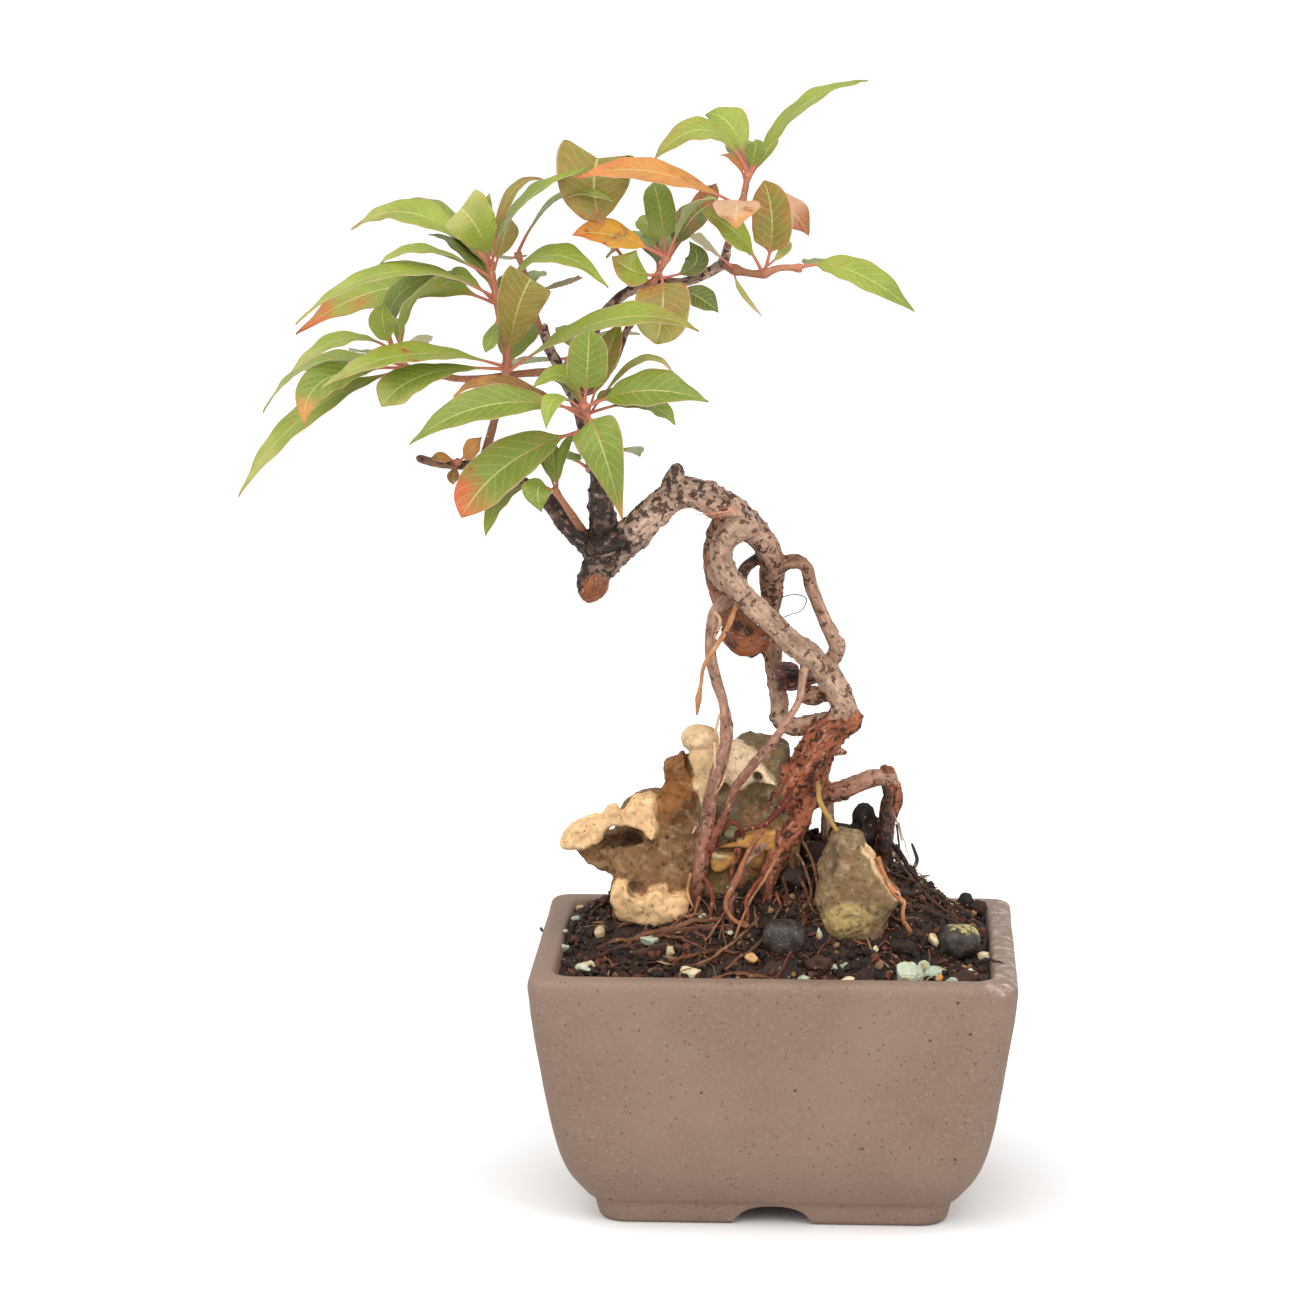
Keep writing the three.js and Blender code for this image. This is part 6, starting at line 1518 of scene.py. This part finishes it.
# A shoot is its name, its stem's [x, y, z, radius] points, and its whorls. A whorl is a place on the stem
# and its leaves: [middle of the rib, tip, width, lean in degrees, tone, tone of the tip, share of spots,
# form of its own for some].
SHOOTS = [
    ("shoot_left", [
        (-94, 9, 237, 1.5), (-91, 7, 247, 1.4), (-88, 5, 259, 1.3), (-86, 4, 267, 1.3), (-87, 3, 277, 1.2),
        (-89, 2, 289, 1.2), (-91, 2, 301, 1),
    ], [
        ((-91, 2, 300), [
            ((-115, 10, 314.5), (-136, 16, 309), 14, 28, "lime", "pale", 0.1),
            ((-111, 18, 315.5), (-126, 26, 313.5), 11, 10, "green", "brown", 0.1),
            ((-93, -10, 310.5), (-98.5, -14, 318.5), 15, 60, "lime", "pale", 0.05, {"blade": "blunt",
             "lobes": 0.08}),
            ((-81, -6, 318.5), (-59, -12, 331.5), 13, 20, "green", "lime", 0),
            ((-85, 8, 320.5), (-74, 14, 325), 6, 10, "olive", "brown", 0.2),
            ((-92, 2, 312), (-91, 2, 322), 4, 80, "green", "lime", 0),
            ((-87.5, 10, 306.5), (-86, 18, 312.5), 9, 50, "olive", "brown", 0.3),
            ((-109, -6, 304.5), (-124, -12, 301.5), 10, 12, "lime", "pale", 0.1),
            ((-99, 26, 306), (-107, 46, 305), 14, -8, "green", "green", 0),
        ]),
        ((-89, 2, 289), [
            ((-119.5, -16, 299), (-149.5, -22, 283.5), 12, 16, "lime", "pale", 0.05),
            ((-72, -8, 303.5), (-53, -14, 294.5), 13, 25, "lime", "lime", 0.1),
            ((-98, 14, 301), (-112, 22, 307), 12, 0, "green", "lime", 0),
            ((-122, 16, 290.8), (-154, 16, 275.6), 19, 40, "lime", "scarlet", 0.2),
            ((-99, -2, 296), (-106, 0, 293), 9, 25, "green", "lime", 0.1),
            ((-83, 22, 292), (-77, 42, 293), 15, -8, "green", "green", 0),
            ((-90, -2, 278), (-92, -6, 273), 5, 60, "green", "green", 0),
        ]),
        ((-86, 4, 267), [
            ((-115, -16, 273.2), (-140.5, -32, 265), 13, 25, "lime", "pale", 0.2),
            ((-109, -14, 267), (-123, -22, 258), 13, 40, "green", "pale", 0.1, {"blade": "round"}),
            ((-82, -10, 285), (-77, -14, 297), 15, 75, "olive", "olive", 0.2, {"blade": "blunt",
             "lobes": 0.03}),
            ((-52, -20, 285), (-24, -34, 283.5), 14, 32, "lime", "olive", 0.1),
            ((-84, 22, 274), (-82, 42, 280), 15, -8, "green", "green", 0),
        ]),
    ]),
    ("shoot_far_left", [
        (-69, 4, 266, 1.4), (-77, 7, 265, 1.3), (-85, 9, 264, 1.2), (-94, 7, 263, 1.2),
        (-102, 3, 263.5, 1.1), (-110, 0, 265.5, 1.1), (-117, 0, 267, 1.1), (-121, 0, 273, 1),
    ], [
        ((-116, 0, 267), [
            ((-147.5, -4, 253.5), (-170, -8, 227), 14, 22, "lime", "pale", 0.1),
            ((-140.5, -14, 265.5), (-147, -24, 252), 14, 32, "green", "orange", 0.05),
            ((-145, 6, 268), (-164.5, 12, 251), 13, 15, "lime", "pale", 0.1),
        ]),
        ((-121, 0, 272), [
            ((-136, -6, 277), (-152.5, -12, 267), 11, 15, "lime", "pale", 0.1),
            ((-123.5, -10, 281.5), (-122.5, -13, 289), 9, 60, "lime", "green", 0.1),
            ((-120.5, -8, 288.3), (-106, -2, 297.5), 11, 25, "green", "lime", 0),
            ((-116, 2, 287.5), (-103.5, 3, 297.5), 8, 10, "lime", "lime", 0),
            ((-130, 22, 269), (-139, 42, 267), 14, -8, "green", "green", 0),
            ((-120, 4, 278), (-121, 6, 282), 4, 60, "green", "green", 0),
            ((-115, 10, 273.5), (-110.5, 16, 275), 6, 30, "cream", "cream", 0),
        ]),
    ]),
    ("shoot_crown_left", [
        (-72, 5, 271, 1.2), (-76, 7, 280, 1), (-79, 9, 291, 1), (-83, 10, 303, 0.9),
    ], [
        ((-83, 10, 302), [
            ((-69, -1, 321), (-51.5, -12, 320.9), 12, 22, "green", "lime", 0.1),
            ((-87, 27, 299), (-90, 44, 297), 13, -8, "green", "green", 0),
        ]),
        ((-79, 9, 291), [
            ((-69, 4, 293), (-62, 0, 296), 10, 12, "olive", "brown", 0.2),
        ]),
    ]),
    ("shoot_middle", [
        (-47, -4, 281, 1.2), (-45, -3, 285, 1.1), (-40, -1, 294, 1.1), (-35, 0, 303, 1),
    ], [
        ((-35, 0, 302), [
            ((-51, -6, 309.5), (-64, -12, 310.5), 12, 45, "amber", "scarlet", 0.3),
            ((-44, 6, 307), (-55, 12, 301), 12, 0, "green", "olive", 0.1),
            ((-37.3, 4, 315), (-40, 8, 325), 9.5, 70, "green", "green", 0, {"blade": "oval"}),
            ((-41, 12, 310), (-45, 18, 313), 8, 40, "lime", "lime", 0),
            ((-28, -5, 317), (-19.5, -9, 321.5), 10, 5, "green", "lime", 0),
            ((-29, 10, 312), (-21, 18, 318), 12, 25, "dark", "rust", 0.3),
            ((-26, 20, 315), (-21, 28, 323), 8, 40, "rust", "rust", 0.2),
            ((-36, -11, 290), (-38, -13, 277), 17, 85, "olive", "pale", 0.35, {"blade": "oval"}),
            ((-45, -6, 298.5), (-52, -8, 303.5), 13, 50, "lime", "olive", 0.2),
            ((-40, 24, 305), (-43, 46, 305), 15, -8, "green", "green", 0),
            ((-27, 3, 299.5), (-28.5, 4, 307), 8, 60, "dark", "dark", 0),
        ]),
        ((-40, -1, 294), [
            ((-55.2, -6, 313.2), (-56.8, -4, 333.4), 23, 70, "olive", "olive", 0.25, {"blade": "blunt",
             "stalk": 0.5, "lobes": 0.2}),
            ((-29, -3, 292), (-19, -6, 286), 9.5, 40, "dark", "dark", 0.1, {"stalk": 0.42}),
        ]),
    ]),
    ("shoot_top", [
        (-17.5, 8, 302, 1.3), (-16, 7, 307, 1.3), (-14, 6, 312, 1.2), (-12, 5, 319, 1.1), (-10, 5, 329, 1),
    ], [
        ((-10, 5, 328), [
            ((-23, 0, 342), (-39, -6, 333.5), 13, 28, "lime", "olive", 0.15),
            ((-15.5, 12, 342), (-24, 18, 345.5), 13, 40, "lime", "green", 0.1),
            ((5.5, 2, 348.5), (27, -4, 358), 12, 22, "lime", "green", 0.1),
            ((-8, 4, 335), (-8, 4, 339), 7, 60, "green", "green", 0),
            ((-5, 8, 334), (-1, 14, 339), 4, 30, "lime", "lime", 0),
            ((-12, 22, 333), (-17.5, 40, 338.5), 11, -8, "green", "green", 0),
            ((-14, 10, 332), (-19, 16, 333), 5, 10, "orange", "orange", 0),
        ]),
        ((-12, 5, 319), [
            ((-13, -12, 320), (-13, -24, 314), 15, 60, "peach", "orange", 0.3),
            ((0, 16, 317.2), (8.6, 18, 307.7), 14, 35, "peach", "rust", 0.35),
            ((-38.6, -12, 330), (-62.5, -20, 328.8), 12, 38, "orange", "scarlet", 0.25),
            ((-11.5, 22, 317), (-12, 40, 312), 12, -8, "green", "green", 0),
        ]),
    ]),
    ("shoot_right", [
        (-19, 8, 300, 1.4), (-14, 6, 298, 1.3), (-6, 4, 297, 1.2), (0, 3, 299, 1.1), (7, 3, 299, 1),
    ], [
        ((6, 3, 299), [
            ((22, -2, 298.7), (42, -10, 287), 13, 32, "lime", "green", 0.1),
            ((13, 20, 299), (22, 38, 297), 13, -8, "green", "green", 0),
        ]),
        ((-5, 4, 297.5), [
            ((-2.5, 4, 311.7), (-5, 2, 326.3), 12.5, 75, "olive", "olive", 0.4, {"blade": "oval"}),
            ((-13, -6, 310), (-24, -10, 318), 14, 40, "lime", "olive", 0.1),
            ((1, 6, 304), (1, 8, 307), 4, 50, "pale", "peach", 0),
        ]),
        ((-14, 6, 298), [
            ((-23, 0, 306), (-28, -2, 309), 9, 25, "cream", "cream", 0),
            ((-12, 2, 291.5), (-5.5, -2, 284.5), 3, 5, "pale", "peach", 0),
        ]),
    ]),
    ("shoot_front", [
        (-59, 0, 242, 1.4), (-58, -6, 246, 1.3), (-59, -12, 250, 1.2), (-60, -21, 259, 1),
    ], [
        ((-60, -20, 258), [
            ((-58.7, -26, 271), (-58, -28, 283), 12.5, 80, "green", "green", 0.05, {"blade": "oval"}),
            ((-41, -28, 264), (-21, -36, 262), 16, 42, "green", "green", 0.05),
            ((-52, -14, 261), (-42, -10, 260), 9, 5, "green", "green", 0),
            ((-53.7, -30, 245.9), (-48, -24, 223), 15, 88, "green", "orange", 0.05, {"blade": "early"}),
            ((-89, -26, 259), (-113, -36, 248), 14, 42, "green", "green", 0.1),
            ((-68, -28, 261.5), (-71, -34, 253), 7, 25, "lime", "lime", 0),
            ((-43, -14, 258), (-32, -16, 252), 11, 20, "green", "lime", 0.05),
            ((-66, -16, 266.5), (-76, -20, 263.8), 9, 30, "lime", "lime", 0.05),
            ((-54, -16, 271), (-49, -14, 284), 8, 60, "olive", "green", 0.2),
            ((-44, -14, 271), (-32.5, -12, 267), 6, 15, "pale", "peach", 0),
            ((-85, -12, 263.5), (-101, -18, 260.5), 10, 14, "brown", "orange", 0.2),
            ((-65, -12, 263), (-72, -6, 264), 8, 5, "lime", "lime", 0),
        ]),
        ((-59, -12, 250), [
            ((-83, -18, 240), (-98, -26, 224), 17, 50, "green", "scarlet", 0.15, {"blade": "full"}),
        ]),
    ]),
    ("shoot_low", [
        (-62, 1, 215.5, 1.4), (-65, -5, 221.5, 1.3), (-70, -13, 231, 0.9),
    ], [
        ((-70, -12, 230), [
            ((-84, -16, 230), (-91, -20, 217), 10, 10, "lime", "lime", 0.1),
            ((-74, -24, 233), (-73, -28, 226), 10, 70, "green", "green", 0.05),
            ((-70, -10, 237), (-71.5, -8, 246), 6, 60, "green", "olive", 0),
            ((-68, -10, 240), (-64.2, -8, 248), 3.5, 60, "green", "lime", 0),
            ((-73, -2, 238), (-73, 2, 244), 5, 40, "green", "lime", 0),
        ]),
    ]),
    ("spur_rust", [
        (-102, 9, 235.5, 1), (-102, 6, 236.5, 0.9),
    ], [
        ((-102, 6.5, 236.3), [
            ((-98, 4, 240), (-94, 2, 245), 7, 50, "orange", "brown", 0.2),
            ((-106, 4, 238), (-110, 2, 238), 4, 50, "orange", "brown", 0.1),
            ((-103, 3, 233), (-103, 1, 230), 4, 60, "brown", "orange", 0.1),
        ]),
    ]),
    ("shoot_back", [
        (-59, 1, 241, 1.4), (-60, 10, 236, 1.2), (-61, 21, 232, 1),
    ], [
        ((-61, 20, 232), [
            ((-71, 30, 235), (-85, 44, 231), 15, -8, "green", "green", 0),
            ((-53, 30, 237), (-46, 44, 233), 14, -8, "green", "green", 0),
            ((-62, 38, 239), (-64, 58, 236), 15, -8, "green", "green", 0),
        ]),
    ]),
    ("shoot_crown_back", [
        (-67, 3, 263, 1.4), (-68, 10, 266, 1.2), (-67, 19, 268, 1),
    ], [
        ((-67, 18, 268), [
            ((-78, 28, 266), (-90, 40, 262), 14, -8, "green", "green", 0),
            ((-58, 30, 273), (-46, 42, 273), 14, -8, "green", "green", 0),
            ((-66, 34, 274), (-66, 54, 273), 14, -8, "green", "green", 0),
        ]),
    ]),
]


def seeded(seed):
    """Random numbers from 0 to 1, each made from the one before it."""
    state = seed
    while True:
        state = (state * 1664525 + 1013904223) % 4294967296
        yield state / 4294967296


def leaf(skin, start, row, seed):
    """Adds a closed leaf to the skin. Its rib is a quadratic Bezier curve through the row's middle point,
    and its cross-section goes from the round stalk over to the flat blade."""
    middle, tip, width, lean, base_tone, tip_tone, spots, *own = row
    own = own[0] if own else {}
    middle, tip = np.array(middle, float), np.array(tip, float)
    control = 2 * middle - (start + tip) / 2
    numbers = seeded(seed)
    fold = 0.12 + 0.12 * next(numbers)
    wave = 0.022 * width * (0.6 + 0.8 * next(numbers))
    dense = np.linspace(0, 1, 60)[:, None]
    bend = (1 - dense) ** 2 * start + 2 * dense * (1 - dense) * control + dense ** 2 * tip
    length = np.linalg.norm(np.diff(bend, axis=0), axis=1).sum()
    stalk = own.get("stalk", min(0.2, 6 / length))
    blade_t = stalk + (1 - stalk) * np.linspace(0, 1, BLADE_ROWS)
    t = np.concatenate([np.linspace(0, stalk, STALK_ROWS)[:-1], blade_t])
    rib = (1 - t)[:, None] ** 2 * start + (2 * t * (1 - t))[:, None] * control + t[:, None] ** 2 * tip
    along = 2 * (1 - t)[:, None] * (control - start) + 2 * t[:, None] * (tip - control)
    along /= np.linalg.norm(along, axis=1)[:, None]
    tilt = math.radians(lean)
    face = np.array([0, -math.sin(tilt), math.cos(tilt)])
    up = face - (along @ face)[:, None] * along
    up /= np.linalg.norm(up, axis=1)[:, None]
    across = np.cross(up, along)

    b = np.clip((t - stalk) / (1 - stalk), 0, 1)
    usual = ("long" if length > 42 else "short") if width > 6 else "bud"
    knots, shares = BLADES[own.get("blade", usual)]
    half = np.maximum(through(knots, shares, b) * width / 2, 0.12)
    turn_count = np.interp(b, knots, np.arange(len(knots)))
    ripple = -wave * np.cos(math.pi * turn_count) * np.sin(math.pi * np.clip(b, 0, 1)) ** 0.5
    flat = soft(0.0, 0.16, b)
    u = RING[None]
    side_veins = 6 + length / 12
    phase = (b[:, None] - 0.22 * np.abs(u) ** 1.25) * side_veins
    quilt = QUILT_HEIGHT * np.minimum(1, width / 12) * np.abs(np.sin(math.pi * phase)) * (1 - u ** 6)
    crinkle = 0.018 * width * np.sin(2 * math.pi * (phase / 2.3 + next(numbers))) * np.abs(u) ** 3
    height = fold * half[:, None] * np.sqrt(u ** 2 + 0.004) + ripple[:, None] * u + quilt + crinkle
    height -= RIB_SUNK * np.exp(-(u / 0.07) ** 2) * width / 15
    under_rib = RIB_UNDER * np.exp(-(u / 0.09) ** 2) * (1 - 0.8 * b[:, None])
    thickness = HALF_THICK * np.where(ON_TOP[None] > 0, 1, -1) * (1 - 0.5 * np.abs(u) ** 4)
    blade_up = height + thickness - np.where(ON_TOP[None] > 0, 0, under_rib)
    radius = (STALK_RADIUS - 0.12 * t / max(stalk, 0.01))[:, None] * min(1, 0.45 + width / 24)
    angle = np.arccos(np.clip(u, -1, 1))
    round_up = radius * np.where(ON_TOP[None] > 0, 1, -1) * np.sin(angle)
    share = flat[:, None]
    out = share * half[:, None] * u + (1 - share) * np.maximum(radius, 0.35) * u
    height = share * blade_up + (1 - share) * round_up
    ahead = own.get("lobes", 0) * width * soft(0.6, 1, b)[:, None] * (1.1 * np.abs(u) ** 1.5 - 0.5 * u ** 8)
    points = (rib[:, None] + out[..., None] * across[:, None] + height[..., None] * up[:, None]
              + ahead[..., None] * along[:, None])

    count, ring = len(t), len(RING)
    ends = np.array([rib[0], rib[-1] + along[-1] * 0.3])
    all_points = np.vstack([points.reshape(-1, 3), ends])

    fray = 0.16 * noise(all_points[:-2], 7, seed, 2).reshape(count, ring)
    go = soft(0.6, 1.02, b[:, None] + fray)[..., None]
    shade = np.array(tone(LEAF_TONES[base_tone])) * (1 - go) + np.array(tone(LEAF_TONES[tip_tone])) * go
    vary = noise(all_points[:-2], 9, seed + 1, 3).reshape(count, ring)[..., None]
    shade = shade * (1 + 0.14 * vary)
    flush = soft(0.45, 1.0, np.abs(u) + 0.25 * vary[..., 0]) * (0.05 + 0.35 * spots)
    shade = stained(shade, (flush * share)[..., None], "C9744A")
    uv = np.stack([np.broadcast_to(u, phase.shape), phase], -1).reshape(-1, 2)
    under = np.broadcast_to((1 - ON_TOP) * (np.abs(RING) < 0.99), (count, ring)).ravel()

    def pad(values):
        """The values, with those of the first and last points once more for the two ends."""
        return np.concatenate([values, values[[0, -1]]])

    skin.add(all_points, wrap(count, ring), end_fans(count, ring), kind=0,
             tint=pad(shade.reshape(-1, 3)), uv=pad(uv), spots=spots, under=pad(under),
             stalk=pad(np.repeat(1 - soft(0.0, 0.10, b), ring)),
             blush=pad(np.repeat(1 - soft(0.05, 0.5, b), ring)))


leaf_skin, nodes, place = new_material("leaf", 0.42, specular=0.4)
leaf_place = nodes.add("ShaderNodeUVMap", settings={"uv_map": "leaf"})
split = nodes.tree.nodes.new("ShaderNodeSeparateXYZ")
nodes.set(split.inputs[0], leaf_place)
off_rib = nodes.sum("ABSOLUTE", split.outputs["X"])
shade = nodes.carried("tint", "Color")
cloud = nodes.cloud(place, scale=230, detail=6)
shade = nodes.stain(shade, nodes.step(cloud, 0.3, 0.7, 0.16, 0.0), "5E6A22")
spots_share = nodes.carried("spots")
blotch = nodes.cloud(place, scale=170, detail=6)
reach = nodes.sum("MULTIPLY_ADD", spots_share, 0.42, blotch)
shade = nodes.stain(shade, nodes.step(reach, 0.62, 0.80, 0.0, 0.7), "A8692F")
shade = nodes.stain(shade, nodes.step(reach, 0.74, 0.82, 0.0, 0.8), "7C4526")
web = nodes.tree.nodes.new("ShaderNodeTexVoronoi")
web.feature = "DISTANCE_TO_EDGE"
nodes.set(web.inputs["Vector"], place)
nodes.set(web.inputs["Scale"], 520)
web_line = nodes.step(web.outputs["Distance"], 0.02, 0.10, 0.07, 0.0)
shade = nodes.stain(shade, web_line, "C4CC7C")
phase = nodes.sum("PINGPONG", split.outputs["Y"], 0.5)
vein = nodes.sum("MULTIPLY", nodes.step(phase, 0.025, 0.10, 1.0, 0.0),
                 nodes.step(off_rib, 0.7, 0.95, 1.0, 0.0))
rib_line = nodes.step(off_rib, 0.015, 0.045, 1.0, 0.0)
shade = nodes.stain(shade, vein, "CFD08C", share=0.2)
rib_tone = nodes.mix(nodes.carried("blush"),
                     tone("CDC680"), tone("C5685A"))
shade = nodes.mix(nodes.sum("MULTIPLY", rib_line, 0.7), shade, rib_tone)
shade = nodes.stain(shade, nodes.step(off_rib, 0.945, 0.985, 0.0, 0.85), "E4C0A4")
under = nodes.carried("under")
shade = nodes.stain(shade, under, "C3C79A", share=0.32)
stalk = nodes.carried("stalk")
shade = nodes.stain(shade, stalk, "C9705E", share=0.9)
height = nodes.sum("MULTIPLY_ADD", vein, -0.6, nodes.sum("MULTIPLY", web.outputs["Distance"], 1.2))
nodes.coat(shade, height, strength=0.35, distance=0.0003, roughness=nodes.step(cloud, 0.3, 0.7, 0.36, 0.52))

young_stem, nodes, place = new_material("young stem", 0.55)
shade = nodes.carried("tint", "Color")
cloud = nodes.cloud(place, scale=420, detail=6)
shade = nodes.stain(shade, nodes.step(cloud, 0.4, 0.7, 0.0, 0.6), "8A5238")
shade = nodes.stain(shade, nodes.dots(place, scale=1100, radius=0.3, share=0.2), "D9B98C")
nodes.coat(shade, nodes.gritty(place, scale=900, swell=0.6), strength=0.3, distance=0.0002)

for number, (name, stem, whorls) in enumerate(SHOOTS, start=1):
    skin = Skin()
    path = curve_through(stem, 0.8)
    run = np.linspace(0, 1, len(path))
    swell = np.zeros(len(path))
    for at, _ in whorls:
        swell += 0.45 * np.exp(-(np.linalg.norm(path[:, :3] - at, axis=1) / 1.6) ** 2)
    radius = path[:, 3] * (1 + swell) + 0.08 * noise(path[:, :3], 2.2, 700 + number, 2)
    points, faces, ends = tube(path[:, :3], radius, 14)
    share = np.append(np.repeat(run, 14), [0, 1])[:, None]
    shade = np.array(tone("8F6244")) * (1 - share) + np.array(tone("C07A5C")) * share
    skin.add(points, faces, ends, kind=1, tint=shade, uv=np.zeros(2), spots=0.0, under=0.0, stalk=0.0,
             blush=0.0)
    stem_knots = np.array(stem, float)[:, :3]
    for place_number, (at, rows) in enumerate(whorls):
        at = np.array(at, float)
        nearest = max(1, int(np.argmin(np.linalg.norm(stem_knots - at, axis=1))))
        down = stem_knots[nearest - 1] - stem_knots[nearest]
        down /= np.linalg.norm(down)
        for index, row in enumerate(rows):
            leaf(skin, at + down * index * STALK_GAP, row, 1000 * number + 100 * place_number + index)
    dress(f"{name}_leaves", skin, [leaf_skin, young_stem], [name])
